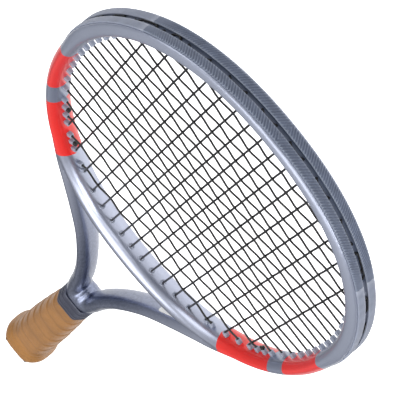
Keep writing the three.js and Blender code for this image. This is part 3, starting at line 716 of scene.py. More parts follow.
def swept(path, radius, sides=STRING_SIDES):
    steps = [math.inf, *np.linalg.norm(np.diff(np.array(path), axis=0), axis=1)]
    path = np.array([p for p, step in zip(path, steps) if step > SHORTEST_STEP])
    ahead = np.diff(path, axis=0)
    ahead /= np.linalg.norm(ahead, axis=1)[:, None]
    along = np.vstack([ahead[:1], ahead[:-1] + ahead[1:], ahead[-1:]])
    along /= np.linalg.norm(along, axis=1)[:, None]
    level = np.cross((0, 0, 1), along)
    level /= np.linalg.norm(level, axis=1)[:, None]
    square = np.cross(along, level)
    turns = np.arange(sides) * 2 * math.pi / sides
    return path[:, None] + radius * (
        np.cos(turns)[None, :, None] * level[:, None] + np.sin(turns)[None, :, None] * square[:, None]
    )


def knot_path(tie):
    """Two and a half small turns round the string's end, in front of its hole."""
    centre = tie.mouth - tie.direction * 1.2
    side = Vector((-tie.direction.y, tie.direction.x))
    made = []
    for k in range(26):
        turn = 2 * math.pi * k / 10
        spot = centre - tie.direction * (0.09 * k - 1.1) + side * (1.25 * math.cos(turn))
        made.append((spot.x, spot.y, 1.25 * math.sin(turn)))
    return made


for name, path, ties, node in (
    ("main_string_round", main_path, ("main_left", "main_right"), "main_string"),
    ("cross_string_round", cross_path, ("cross_start", "cross_end"), "cross_string"),
):
    coils = []
    for tie in ties:
        coil = np.array(knot_path(TIE_HOLES[tie]))
        ring_list = []
        for i in range(len(coil)):
            ahead = coil[min(i + 1, len(coil) - 1)] - coil[max(i - 1, 0)]
            ahead /= np.linalg.norm(ahead)
            axis = np.array((*TIE_HOLES[tie].direction, 0.0))
            first = np.cross(ahead, axis)
            first /= np.linalg.norm(first)
            second = np.cross(ahead, first)
            turns = np.arange(STRING_SIDES) * 2 * math.pi / STRING_SIDES
            ring_list.append([coil[i] + 0.6 * (math.cos(t) * first + math.sin(t) * second) for t in turns])
        coils.append(skin(ring_list))
    string = piece(name, [skin(swept(path, STRING_RADIUS)), *coils])
    stand_for(string, [node])

# %% [markdown]
# ## Grommets
# Each hole has a nylon sleeve that keeps the string off the sharp carbon. Sleeves and the flat
# strip that joins them outside the frame are one moulding. Round the sides the sleeves are
# blunt square blocks standing out of the wall; in the bridge they end in a flush round rim.
# A sleeve is a skin that goes in along its outside, turns over its lip and comes back down
# the bore, so it is a closed body with a real hole.

# %% Sleeves and strips
SLEEVE_HALF = 1.75
AROUND = 20


def sleeve_ring(hole, depth, half, squareness):
    """A ring across the hole; squareness 2 is round and 6 nearly square."""
    centre = hole.mouth + hole.direction * depth
    side = Vector((-hole.direction.y, hole.direction.x))
    made = []
    for k in range(AROUND):
        turn = 2 * math.pi * (k + 0.5) / AROUND
        c, s = math.cos(turn), math.sin(turn)
        grow = half / (abs(c) ** squareness + abs(s) ** squareness) ** (1 / squareness)
        spot = centre + side * (grow * c)
        made.append((spot.x, spot.y, grow * s))
    return made


BLOCK_PROFILE = [(7.5, 1.6, 6), (3.6, SLEEVE_HALF, 6), (0.25, SLEEVE_HALF, 6), (-0.1, SLEEVE_HALF - 0.12, 5),
                 (-0.25, SLEEVE_HALF - 0.4, 4), (-0.2, 1.02, 2), (0.1, 0.9, 2), (4.5, 0.85, 2)]
RIM_PROFILE = [(5.0, 1.7, 2), (0.9, 2.45, 2), (0.35, 2.5, 2), (0.05, 2.35, 2), (-0.1, 2.0, 2),
               (0.0, 1.6, 2), (0.5, 1.25, 2), (1.2, 0.95, 2), (5.0, 0.85, 2)]


def sleeve(hole):
    profile = RIM_PROFILE if hole.strip == "bridge" else BLOCK_PROFILE
    return skin([sleeve_ring(hole, *row) for row in profile])


def lane_run(lane, start, stop):
    """Lane points and outward directions between two places, in even steps."""
    count = max(2, round(stop - start))
    spots = [lane_point(lane, start + (stop - start) * k / count) for k in range(count + 1)]
    made = []
    for k, spot in enumerate(spots):
        along = (spots[min(k + 1, count)] - spots[max(k - 1, 0)]).normalized()
        beside = Vector((along.y, -along.x))
        made.append((spot, beside))
    return made


def lane_ring(spot, beside, section):
    """A section (u, v) across the lane; u is the depth from the inner wall."""
    return [(spot.x + beside.x * (u - LANE_DEPTH), spot.y + beside.y * (u - LANE_DEPTH), v)
            for u, v in section]


END_SPARE = 0.9  # how far a strip runs past its last hole, in steps of the lane
STRIP_SECTION = rounded([(9.8, -2.75), (9.8, 2.75), (10.8, 2.75), (10.8, -2.75)], 1)


def grommet_strip(name, node, strip, side=0, more=()):
    holes = [h for h in HOLES if h.strip == strip and (not side or h.mouth.x * side > 0)]
    places = [h.at for h in holes]
    run = lane_run(holes[0].lane, min(places) - END_SPARE, max(places) + END_SPARE)
    base = [lane_ring(spot, beside, STRIP_SECTION) for spot, beside in run]
    made = piece(name, [skin(base), *[sleeve(h) for h in holes], *more], sharp=50)
    stand_for(made, [node])
    return made


# %% [markdown]
# Beyond the bumper the side strips carry its outline on as smooth flanges. They lie over the
# outer wall and sink into it down each side, and end where the upper red band begins.

# %% The four side strips and the bridge strip
FLANGE = [(12.9, 1.5), (13.15, 1.9), (13.25, 2.6), (13.3, 3.4), (13.3, 4.2), (13.3, 5.0),
          (13.3, 5.8), (13.25, 6.5), (13.15, 7.1), (12.8, 7.5)]
INSIDE = [(10.0, 2.75), (11.0, 2.95), (11.2, 5.2), (11.3, 6.9), (12.2, 7.4)]
GROOVE = [(12.2, 1.5), (12.1, 2.3), (10.8, 2.3)]
FLANGE_END_Y = 503
JOINT = 0.05  # the fine gap between a side strip and the bumper, in steps of the lane
bumper_holes = [h for h in HOLES if h.strip == "bumper"]
first_at = min(h.at for h in bumper_holes) - END_SPARE
last_at = max(h.at for h in bumper_holes) + END_SPARE


def flange_section(y):
    """Full where the bumper ends; lower down it sinks to the flat outer wall."""
    keep = eased_step(FLANGE_END_Y - 5, SQUARE_FULL_Y, y)
    section = []
    for u, v in (*INSIDE, *reversed(FLANGE), *GROOVE):
        flat = min(u, 11.0)
        section.append((flat + (u - flat) * keep, v if v < 3.0 else 3.0 + (v - 3.0) * (0.2 + 0.8 * keep)))
    return both_faces(section)


tails = {}
for side in (1, -1):
    low_end = next(
        i for i, p in enumerate(OUTER_LANE)
        if i > 0 and p.x * side > 0 and (OUTER_LANE[i - 1].y - FLANGE_END_Y) * (p.y - FLANGE_END_Y) <= 0
    )
    ends = (low_end, first_at - JOINT) if side > 0 else (last_at + JOINT, low_end)
    run = lane_run(OUTER_LANE, *ends)
    tails[side] = skin([lane_ring(spot, beside, flange_section(spot.y)) for spot, beside in run])

side_strips = []
for name, side in (("right", 1), ("left", -1)):
    side_strips.append(grommet_strip(
        f"side_grommets_{name}", f"side_grommet_strip_{name}", "side", side, [tails[side]]))
    side_strips.append(grommet_strip(
        f"shoulder_grommets_{name}", f"shoulder_grommet_strip_{name}", "shoulder", side))
side_strips.append(grommet_strip("bridge_grommets", "bridge_grommet_strip", "bridge"))

# %% [markdown]
# ## The bumper guard
# The guard takes the scrapes. Two flanges stand over the outside of the tip, with a narrow
# groove between them for the strings, and both are moulded with slanting ribs two millimetres
# apart that mirror each other across the groove and about the tip. Their outer edges are toothed.
# Bump mapping would leave the outline smooth, so the ribs are real steps in the mesh.

# %% Ribs and teeth
RIB_PITCH = 2.1
RIB_HEIGHT = 0.26
RIB_SLANT = 0.75
RIB_STEP = 0.42
RIB_STEEP = 1.6 / 0.6
RIBS_FROM, RIBS_TO = 2.2, 7.3
RIB_ENDS = 0.35
RIB_FADE = 22
TOOTH_DEPTH = 0.5

steps_per_mm = 1 / (OUTER_LANE[len(OUTER_LANE) // 2] - OUTER_LANE[len(OUTER_LANE) // 2 - 1]).length
count = round((last_at - first_at) / steps_per_mm / RIB_STEP)
spots = [lane_point(OUTER_LANE, first_at + (last_at - first_at) * k / count) for k in range(count + 1)]
lengths = np.concatenate([[0], np.cumsum([(b - a).length for a, b in zip(spots, spots[1:])])])
from_tip = lengths - lengths[-1] / 2

rings = []
for k, spot in enumerate(spots):
    along = (spots[min(k + 1, count)] - spots[max(k - 1, 0)]).normalized()
    beside = Vector((along.y, -along.x))
    fade = eased_step(0, RIB_FADE, lengths[-1] / 2 - abs(from_tip[k]))
    run = abs(from_tip[k])
    tooth = TOOTH_DEPTH * fade * (0.5 + 0.5 * math.cos(2 * math.pi * run / RIB_PITCH))
    upper = [(u, v + (tooth if v > 7.2 else 0)) for u, v in INSIDE]
    for u, v in reversed(FLANGE):
        wave = math.cos(2 * math.pi * (run + RIB_SLANT * v) / RIB_PITCH)
        lift = RIB_HEIGHT * fade * max(-1.0, min(1.0, wave * RIB_STEEP))
        on_rib = 1.0 if RIBS_FROM < v < RIBS_TO else RIB_ENDS
        upper.append((u + lift * on_rib, v + (tooth if v > 7 else 0)))
    upper += GROOVE
    rings.append(lane_ring(spot, beside, both_faces(upper)))
bumper = piece("bumper_ribbed", [skin(rings), *[sleeve(h) for h in bumper_holes]], sharp=60)
stand_for(bumper, ["bumper_guard"])
print("bumper:", round(float(lengths[-1])), "mm along the outside,", len(rings), "stations")

# %% [markdown]
# ## The leather grip
# A strip of calf leather is wound up the eight-sided handle, each turn lapping over the last.
# Pulled tight round the corners it bunches into soft folds on the narrow sides and lies nearly
# smooth on the wide flats. Its shape is written as a height over the handle: a lap that climbs
# to its edge and drops, and weaker puckers between, both strong on the narrow sides only.

# %% Eight-sided rings
GRIP_AROUND = 176


def octagon_ring(half_x, half_z, around=GRIP_AROUND, soften=3):
    """An eight-sided ring with rounded corners: points and outward directions."""
    quarter = [(half_x, 0.45 * half_z), (0.62 * half_x, half_z)]
    corners = [*quarter, *[(-x, z) for x, z in reversed(quarter)], *[(-x, -z) for x, z in quarter],
               *[(x, -z) for x, z in reversed(quarter)]]
    corners = np.array(corners)
    closed = np.vstack([corners, corners[:1]])
    run = np.concatenate([[0], np.cumsum(np.linalg.norm(np.diff(closed, axis=0), axis=1))])
    spots = np.linspace(0, run[-1], around, endpoint=False)
    ring = np.column_stack([np.interp(spots, run, closed[:, i]) for i in (0, 1)])
    for _ in range(soften):
        ring = (np.roll(ring, 1, 0) + 2 * ring + np.roll(ring, -1, 0)) / 4
    along = np.roll(ring, -1, 0) - np.roll(ring, 1, 0)
    out = np.column_stack([along[:, 1], -along[:, 0]])
    out /= np.linalg.norm(out, axis=1)[:, None]
    return ring, out


def between(stations, y, column):
    """A size at y, eased between the stations."""
    ys = [s[0] for s in stations]
    i = min(max(int(np.searchsorted(ys, y)) - 1, 0), len(ys) - 2)
    t = eased_step(ys[i], ys[i + 1], y)
    straight = min(max((y - ys[i]) / (ys[i + 1] - ys[i]), 0), 1)
    t = 0.5 * (t + straight)
    return stations[i][column] * (1 - t) + stations[i + 1][column] * t


print("ring points:", GRIP_AROUND)

# %% The wrapped leather
LEATHER = [(0.7, 18.9, 17.3), (1.2, 19.9, 18.3), (2.8, 20.6, 19.0), (5.0, 21.0, 19.4),
           (9.0, 20.6, 19.0), (14, 19.4, 17.7), (19, 18.1, 16.3),
           (25, 17.3, 15.5), (70, 17.2, 15.4), (110, 16.0, 14.6), (150, 14.4, 13.5), (172, 12.6, 12.2)]
LEATHER_WALL = 1.5
LAP_PITCH = 21.0
LAP_HEIGHT = 0.55
LAP_EDGE = 0.14
LAP_CURVE = 2.2
LAP_ON_FLATS = 0.16
PUCKER_HEIGHT = 0.3
LEATHER_SOFTEN = 60
LAP_FROM_Y = 14.0
GRIP_STEP = 0.6
GRIP_FROM_Y = 0.7
GRIP_TO_Y = 172.01


def lap_height(y, share, narrow):
    """How far the leather stands up at this place; share is how far round the handle."""
    turn = (y / LAP_PITCH - share) % 1.0
    rise = 1 - LAP_EDGE
    lap = (turn / rise) ** LAP_CURVE if turn < rise else 1 - eased_step(rise, 1.0, turn)
    pucker = 0.5 + 0.5 * math.sin(2 * math.pi * (2 * turn + 0.15) + 1.3 * math.sin(7 * share))
    strength = eased_step(LAP_FROM_Y, LAP_FROM_Y + 12, y) * (1 - 0.6 * eased_step(158, 170, y))
    laps = LAP_HEIGHT * lap * (LAP_ON_FLATS + (1 - LAP_ON_FLATS) * narrow)
    return strength * (laps + PUCKER_HEIGHT * pucker * narrow * turn)


outside, inside = [], []
for y in np.arange(GRIP_FROM_Y, GRIP_TO_Y, GRIP_STEP):
    half_x, half_z = between(LEATHER, y, 1), between(LEATHER, y, 2)
    ring, out = octagon_ring(half_x, half_z, soften=LEATHER_SOFTEN)
    made = []
    for k in range(GRIP_AROUND):
        narrow = eased_step(0.25, 0.8, abs(out[k][0]))
        lift = lap_height(y, k / GRIP_AROUND, narrow) + 0.15
        made.append((ring[k][0] + out[k][0] * lift, y, ring[k][1] + out[k][1] * lift))
    outside.append(made)
for y in np.arange(172.0, 2.7, -6.0):
    ring, out = octagon_ring(between(LEATHER, y, 1) - LEATHER_WALL, between(LEATHER, y, 2) - LEATHER_WALL)
    inside.append([(x, y, z) for x, z in ring])
leather = piece("leather_wrap", [skin([*outside, *inside], loop=True)])
stand_for(leather, ["leather_grip"])

# %% [markdown]
# ## Collar and label
# A moulded rubber collar grips the end of the leather. It has a few fine ridges round it and
# a front lip that closes down onto the shaft. The maker's film label on the inner wall of one
# arm is only a thin plate with rounded corners, and it is left blank.

# %% The rubber collar
COLLAR_AROUND = 128
COLLAR_OUTSIDE = [
    (167.6, 13.9, 13.4), (167.7, 14.5, 14.0), (168.4, 14.9, 14.3), (170.2, 14.95, 14.3), (170.9, 14.6, 14.0),
    (172.0, 14.55, 13.95), (172.6, 14.95, 14.25), (174.6, 14.9, 14.1), (175.2, 14.55, 13.75),
    (176.2, 14.6, 13.7),
    (176.8, 14.95, 13.9), (182.6, 15.0, 13.3), (183.3, 14.75, 13.0), (184.2, 14.8, 12.9), (184.9, 15.1, 13.1),
    (188.0, 15.2, 12.7), (189.0, 15.1, 12.4), (189.5, 14.8, 12.1), (189.4, 14.3, 11.7), (188.8, 13.9, 11.2),
]
COLLAR_INSIDE = [(185.0, 13.5, 11.0), (176.0, 13.1, 12.3), (168.0, 13.2, 12.8)]
rings = []
for y, half_x, half_z in (*COLLAR_OUTSIDE, *COLLAR_INSIDE):
    ring, _ = octagon_ring(half_x, half_z, COLLAR_AROUND, 8)
    rings.append([(x, y, z) for x, z in ring])
collar = piece("collar_ridged", [skin(rings, loop=True)], sharp=55)
stand_for(collar, ["rubber_collar"])

# %% The blank label
LABEL_FROM_Y = 314.0
LABEL_TO_Y = 332.0
LABEL_HALF = 4.4
LABEL_CORNER = 1.8
inner_wall = [(p - n * (BEAM_WIDTH / 2 + 0.12), n) for p, n in zip(LINE, BESIDE) if p.x > 0]
stations = [(p, n) for p, n in inner_wall if LABEL_FROM_Y - 6 < p.y < LABEL_TO_Y + 6]
rings = []
for y in np.linspace(LABEL_FROM_Y, LABEL_TO_Y, 29):
    i = max(k for k in range(len(stations) - 1) if stations[k][0].y <= y)
    t = (y - stations[i][0].y) / (stations[i + 1][0].y - stations[i][0].y)
    spot = stations[i][0].lerp(stations[i + 1][0], t)
    beside = stations[i][1].lerp(stations[i + 1][1], t)
    short = max(0.0, LABEL_CORNER - min(y - LABEL_FROM_Y, LABEL_TO_Y - y))
    half = LABEL_HALF - LABEL_CORNER + math.sqrt(max(LABEL_CORNER**2 - short**2, 0.01))
    section = [(0.35, half), (0.0, half), (0.0, -half), (0.35, -half)]
    rings.append([(spot.x + beside.x * (u - 0.1), spot.y + beside.y * (u - 0.1), v) for u, v in section])
label = piece("blank_label", [skin(rings)], sharp=30)
stand_for(label, ["throat_label"])

# %% [markdown]
# ## Finishes
# ### Frame paint
# The frame is sprayed in a blue-grey metallic, lighter towards the throat, with two red bands
# on each side and a grey stripe between them, under one satin clear coat. The bands are cut
# square to the beam, so they follow the angle seen from a point inside the head and not plain
# height. One ramp over that angle holds every colour in order from tip to throat, and its
# alpha says how much metal flake each colour carries.

# %% Satin metallic paint with bands
BAND_CENTRE_Y = BUTT_Y + 0.505
BAND_CENTRE_IN = 0.052
BAND_SLANT = 2.0
BAND_STOPS = (
    ("blue grey to the tip", 0.0, (0.340, 0.370, 0.465, 0.55)),
    ("upper red", 0.000, (0.80, 0.014, 0.008, 0.12)),
    ("grey stripe", 0.322, (0.270, 0.300, 0.395, 0.6)),
    ("lower red", 0.445, (0.80, 0.014, 0.008, 0.12)),
    ("silver to the throat", 0.767, (0.46, 0.49, 0.60, 1.0)),
)
BAND_FROM, BAND_TO = -0.5, 1.5


def satin_paint(name):
    material = bpy.data.materials.new(name)
    material.use_nodes = True
    nodes, links = material.node_tree.nodes, material.node_tree.links
    nodes.clear()

    place = nodes.new("ShaderNodeTexCoord")
    place.label = "place on the racket"
    split = nodes.new("ShaderNodeSeparateXYZ")
    split.label = "across, along, up"
    either_side = nodes.new("ShaderNodeMath")
    either_side.label = "same on both sides"
    from_middle = nodes.new("ShaderNodeMath")
    from_middle.label = "out from the band centre"
    below = nodes.new("ShaderNodeMath")
    below.label = "down from the band centre"
    angle = nodes.new("ShaderNodeMath")
    angle.label = "angle round the rim"
    lift = nodes.new("ShaderNodeMath")
    lift.label = "height over the strings"
    either_face = nodes.new("ShaderNodeMath")
    either_face.label = "same on both faces"
    slant = nodes.new("ShaderNodeMath")
    slant.label = "slant of the band edges"
    ramp_place = nodes.new("ShaderNodeMapRange")
    ramp_place.label = "angle to ramp"
    bands = nodes.new("ShaderNodeValToRGB")
    bands.label = "paint in order from the tip"
    throat = nodes.new("ShaderNodeMapRange")
    throat.label = "how near the throat"
    arm_grey = nodes.new("ShaderNodeMix")
    arm_grey.label = "blue grey down the arms"
    flake_size = nodes.new("ShaderNodeTexVoronoi")
    flake_size.label = "metal flakes"
    flake_tone = nodes.new("ShaderNodeMapRange")
    flake_tone.label = "flakes only just show"
    flaked = nodes.new("ShaderNodeMix")
    flaked.label = "flakes in the colour"
    weave_stretch = nodes.new("ShaderNodeMapping")
    weave_stretch.label = "fibres lie along the arm"
    fibre = nodes.new("ShaderNodeTexNoise")
    fibre.label = "carbon fibre fleck"
    fibre_mask = nodes.new("ShaderNodeMapRange")
    fibre_mask.label = "fleck under thin paint"
    fibred = nodes.new("ShaderNodeMix")
    fibred.label = "darker flecks"
    handled = nodes.new("ShaderNodeTexNoise")
    handled.label = "rubbed by hands and bags"
    satin = nodes.new("ShaderNodeMapRange")
    satin.label = "satin, a little uneven"
    peel = nodes.new("ShaderNodeTexNoise")
    peel.label = "spray texture"
    peel_bump = nodes.new("ShaderNodeBump")
    peel_bump.label = "faint orange peel"
    paint = nodes.new("ShaderNodeBsdfPrincipled")
    paint.label = "paint under clear coat"
    out = nodes.new("ShaderNodeOutputMaterial")
    out.label = "frame"

    for title, members in (
        ("Where the bands lie", (
            place, split, either_side, from_middle, below, angle, lift, either_face, slant, ramp_place)),
        ("Colours", (bands, throat, arm_grey)),
        ("Flake and fibre", (flake_size, flake_tone, flaked, weave_stretch, fibre, fibre_mask, fibred)),
        ("Surface", (handled, satin, peel, peel_bump)),
    ):
        group = nodes.new("NodeFrame")
        group.label = title
        for member in members:
            member.parent = group
    for column, members in enumerate((
        (place, split), (either_side, lift, below), (from_middle, either_face), (angle, slant),
        (ramp_place, throat), (bands, weave_stretch), (arm_grey, fibre, flake_size),
        (fibre_mask, flake_tone, handled), (flaked, peel, satin),
        (fibred, peel_bump), (paint,), (out,),
    )):
        for row, node in enumerate(members):
            node.location = (230 * column, -260 * row)

    either_side.operation = "ABSOLUTE"
    from_middle.operation = "ADD"
    from_middle.inputs[1].default_value = BAND_CENTRE_IN
    below.operation = "SUBTRACT"
    below.inputs[0].default_value = BAND_CENTRE_Y
    angle.operation = "ARCTAN2"
    lift.operation = "SUBTRACT"
    lift.inputs[1].default_value = PLANE_Z
    either_face.operation = "ABSOLUTE"
    slant.operation = "MULTIPLY_ADD"
    slant.inputs[1].default_value = BAND_SLANT
    ramp_place.inputs["From Min"].default_value = BAND_FROM
    ramp_place.inputs["From Max"].default_value = BAND_TO
    bands.color_ramp.interpolation = "CONSTANT"
    stops = bands.color_ramp.elements
    stops[0].position = 0.0
    stops[0].color = BAND_STOPS[0][2]
    stops[1].position = (BAND_STOPS[1][1] - BAND_FROM) / (BAND_TO - BAND_FROM)
    stops[1].color = BAND_STOPS[1][2]
    for _, at, colour in BAND_STOPS[2:]:
        stops.new((at - BAND_FROM) / (BAND_TO - BAND_FROM)).color = colour
    throat.inputs["From Min"].default_value = BUTT_Y + 0.345
    throat.inputs["From Max"].default_value = BUTT_Y + 0.265
    arm_grey.data_type = "RGBA"
    arm_grey.inputs["B"].default_value = (0.25, 0.28, 0.39, 1.0)
    flake_size.inputs["Scale"].default_value = 2600
    flake_tone.inputs["To Min"].default_value = 0.92
    flake_tone.inputs["To Max"].default_value = 1.14
    flaked.data_type = "RGBA"
    flaked.blend_type = "MULTIPLY"
    flaked.inputs["Factor"].default_value = 0.8
    weave_stretch.inputs["Scale"].default_value = (1.0, 0.3, 1.0)
    fibre.inputs["Scale"].default_value = 700
    fibre.inputs["Detail"].default_value = 4
    fibre_mask.inputs["From Min"].default_value = 0.42
    fibre_mask.inputs["From Max"].default_value = 0.62
    fibre_mask.inputs["To Min"].default_value = 0.80
    fibre_mask.inputs["To Max"].default_value = 1.05
    fibred.data_type = "RGBA"
    fibred.blend_type = "MULTIPLY"
    handled.inputs["Scale"].default_value = 28
    handled.inputs["Detail"].default_value = 6
    satin.inputs["To Min"].default_value = 0.27
    satin.inputs["To Max"].default_value = 0.40
    peel.inputs["Scale"].default_value = 420
    peel_bump.inputs["Strength"].default_value = 0.05
    peel_bump.inputs["Distance"].default_value = 0.0005
    paint.inputs["Coat Weight"].default_value = 0.55
    paint.inputs["Coat Roughness"].default_value = 0.16

    links.new(place.outputs["Object"], split.inputs["Vector"])
    links.new(split.outputs["X"], either_side.inputs[0])
    links.new(either_side.outputs["Value"], from_middle.inputs[0])
    links.new(split.outputs["Y"], below.inputs[1])
    links.new(below.outputs["Value"], angle.inputs[0])
    links.new(from_middle.outputs["Value"], angle.inputs[1])
    links.new(split.outputs["Z"], lift.inputs[0])
    links.new(lift.outputs["Value"], either_face.inputs[0])
    links.new(either_face.outputs["Value"], slant.inputs[0])
    links.new(angle.outputs["Value"], slant.inputs[2])
    links.new(slant.outputs["Value"], ramp_place.inputs["Value"])
    links.new(ramp_place.outputs["Result"], bands.inputs["Fac"])
    links.new(split.outputs["Y"], throat.inputs["Value"])
    links.new(throat.outputs["Result"], arm_grey.inputs["Factor"])
    links.new(bands.outputs["Color"], arm_grey.inputs["A"])
    links.new(place.outputs["Object"], flake_size.inputs["Vector"])
    links.new(flake_size.outputs["Distance"], flake_tone.inputs["Value"])
    links.new(arm_grey.outputs["Result"], flaked.inputs["A"])
    links.new(flake_tone.outputs["Result"], flaked.inputs["B"])
    links.new(place.outputs["Object"], weave_stretch.inputs["Vector"])
    links.new(weave_stretch.outputs["Vector"], fibre.inputs["Vector"])
    links.new(fibre.outputs["Fac"], fibre_mask.inputs["Value"])
    links.new(throat.outputs["Result"], fibred.inputs["Factor"])
    links.new(flaked.outputs["Result"], fibred.inputs["A"])
    links.new(fibre_mask.outputs["Result"], fibred.inputs["B"])
    links.new(fibred.outputs["Result"], paint.inputs["Base Color"])
    links.new(bands.outputs["Alpha"], paint.inputs["Metallic"])
    links.new(place.outputs["Object"], handled.inputs["Vector"])
    links.new(handled.outputs["Fac"], satin.inputs["Value"])
    links.new(satin.outputs["Result"], paint.inputs["Roughness"])
    links.new(place.outputs["Object"], peel.inputs["Vector"])
    links.new(peel.outputs["Fac"], peel_bump.inputs["Height"])
    links.new(peel_bump.outputs["Normal"], paint.inputs["Normal"])
    links.new(paint.outputs["BSDF"], out.inputs["Surface"])
    print(name, "has", len(nodes), "nodes")
    return material


moulded_frame.data.materials.clear()
moulded_frame.data.materials.append(satin_paint("satin_frame_paint"))

# %% [markdown]
# ### Moulded nylon and hard plastic
# The bumper, grommets, butt cap and cover are all injection moulded. Such plastic is even in
# colour with a faint mottle, and its satin skin carries the fine spark texture of the mould.
# Corners and rib crests are painted paler, partly as rubbing and partly as a painted highlight.
# One function makes them all from a colour, a rubbed and highlight colour and a roughness.

# %% Moulded plastic
# rubbed is the paler colour of rubbed corners with painted highlight on corners and rib crests.
def moulded_plastic(name, colour, rubbed, roughness, grain):
    material = bpy.data.materials.new(name)
    material.use_nodes = True
    nodes, links = material.node_tree.nodes, material.node_tree.links
    nodes.clear()

    place = nodes.new("ShaderNodeTexCoord")
    place.label = "place on the racket"
    mottle = nodes.new("ShaderNodeTexNoise")
    mottle.label = "flow mottle"
    tones = nodes.new("ShaderNodeValToRGB")
    tones.label = "plastic, barely uneven"
    # Painted highlight, partly wear: pointed corners and rib crests are painted paler.
    corners = nodes.new("ShaderNodeNewGeometry")
    corners.label = "where it is pointed"
    rub_and_highlight_place = nodes.new("ShaderNodeMapRange")
    rub_and_highlight_place.label = "corners and rib crests"
    rub_and_highlight = nodes.new("ShaderNodeMix")
    rub_and_highlight.label = "rubbed paler, painted highlight"
    spark = nodes.new("ShaderNodeTexNoise")
    spark.label = "mould spark texture"
    satin = nodes.new("ShaderNodeMapRange")
    satin.label = "satin skin"
    spark_bump = nodes.new("ShaderNodeBump")
    spark_bump.label = "fine texture"
    plastic = nodes.new("ShaderNodeBsdfPrincipled")
    plastic.label = "moulded plastic"
    out = nodes.new("ShaderNodeOutputMaterial")
    out.label = "moulding"
    for title, members in (
        ("Colour", (mottle, tones)),
        ("Rubbed corners and painted highlight", (corners, rub_and_highlight_place, rub_and_highlight)),
        ("Mould skin", (spark, satin, spark_bump)),
    ):
        group = nodes.new("NodeFrame")
        group.label = title
        for member in members:
            member.parent = group
    for column, members in enumerate((
        (place, corners), (mottle, rub_and_highlight_place, spark), (tones, satin), (rub_and_highlight, spark_bump), (plastic,), (out,),
    )):
        for row, node in enumerate(members):
            node.location = (240 * column, -270 * row)

    mottle.inputs["Scale"].default_value = 150
    mottle.inputs["Detail"].default_value = 5
    tones.color_ramp.elements[0].position = 0.3
    tones.color_ramp.elements[0].color = (*[0.86 * c for c in colour], 1)
    tones.color_ramp.elements[1].position = 0.7
    tones.color_ramp.elements[1].color = (*[1.12 * c for c in colour], 1)
    rub_and_highlight_place.inputs["From Min"].default_value = 0.51
    rub_and_highlight_place.inputs["From Max"].default_value = 0.60
    rub_and_highlight_place.inputs["To Max"].default_value = 0.85
    rub_and_highlight.data_type = "RGBA"
    rub_and_highlight.inputs["B"].default_value = (*rubbed, 1)
    spark.inputs["Scale"].default_value = grain
    spark.inputs["Detail"].default_value = 3
    satin.inputs["To Min"].default_value = roughness - 0.06
    satin.inputs["To Max"].default_value = roughness + 0.10
    spark_bump.inputs["Strength"].default_value = 0.12
    spark_bump.inputs["Distance"].default_value = 0.0004
    plastic.inputs["IOR"].default_value = 1.5

    links.new(place.outputs["Object"], mottle.inputs["Vector"])
    links.new(mottle.outputs["Fac"], tones.inputs["Fac"])
    links.new(corners.outputs["Pointiness"], rub_and_highlight_place.inputs["Value"])
    links.new(rub_and_highlight_place.outputs["Result"], rub_and_highlight.inputs["Factor"])
    links.new(tones.outputs["Color"], rub_and_highlight.inputs["A"])
    links.new(rub_and_highlight.outputs["Result"], plastic.inputs["Base Color"])
    links.new(place.outputs["Object"], spark.inputs["Vector"])
    links.new(spark.outputs["Fac"], satin.inputs["Value"])
    links.new(satin.outputs["Result"], plastic.inputs["Roughness"])
    links.new(spark.outputs["Fac"], spark_bump.inputs["Height"])
    links.new(spark_bump.outputs["Normal"], plastic.inputs["Normal"])
    links.new(plastic.outputs["BSDF"], out.inputs["Surface"])
    print(name, "has", len(nodes), "nodes")
    return material


# The second colour of each moulding is its rubbed colour with painted highlight on corners and rib crests.
bumper.data.materials.append(
    moulded_plastic("bumper_nylon", (0.105, 0.128, 0.190), (0.34, 0.38, 0.46), 0.38, 900))
grommet_nylon = moulded_plastic("grommet_nylon", (0.200, 0.225, 0.300), (0.42, 0.45, 0.53), 0.40, 1100)
for strip in side_strips:
    strip.data.materials.append(grommet_nylon)

# %% [markdown]
# ### String
# The string is black copolyester, drawn through a die, so it is smooth and glossy with hardly
# visible lines along it, and dulled where strings saw across each other.

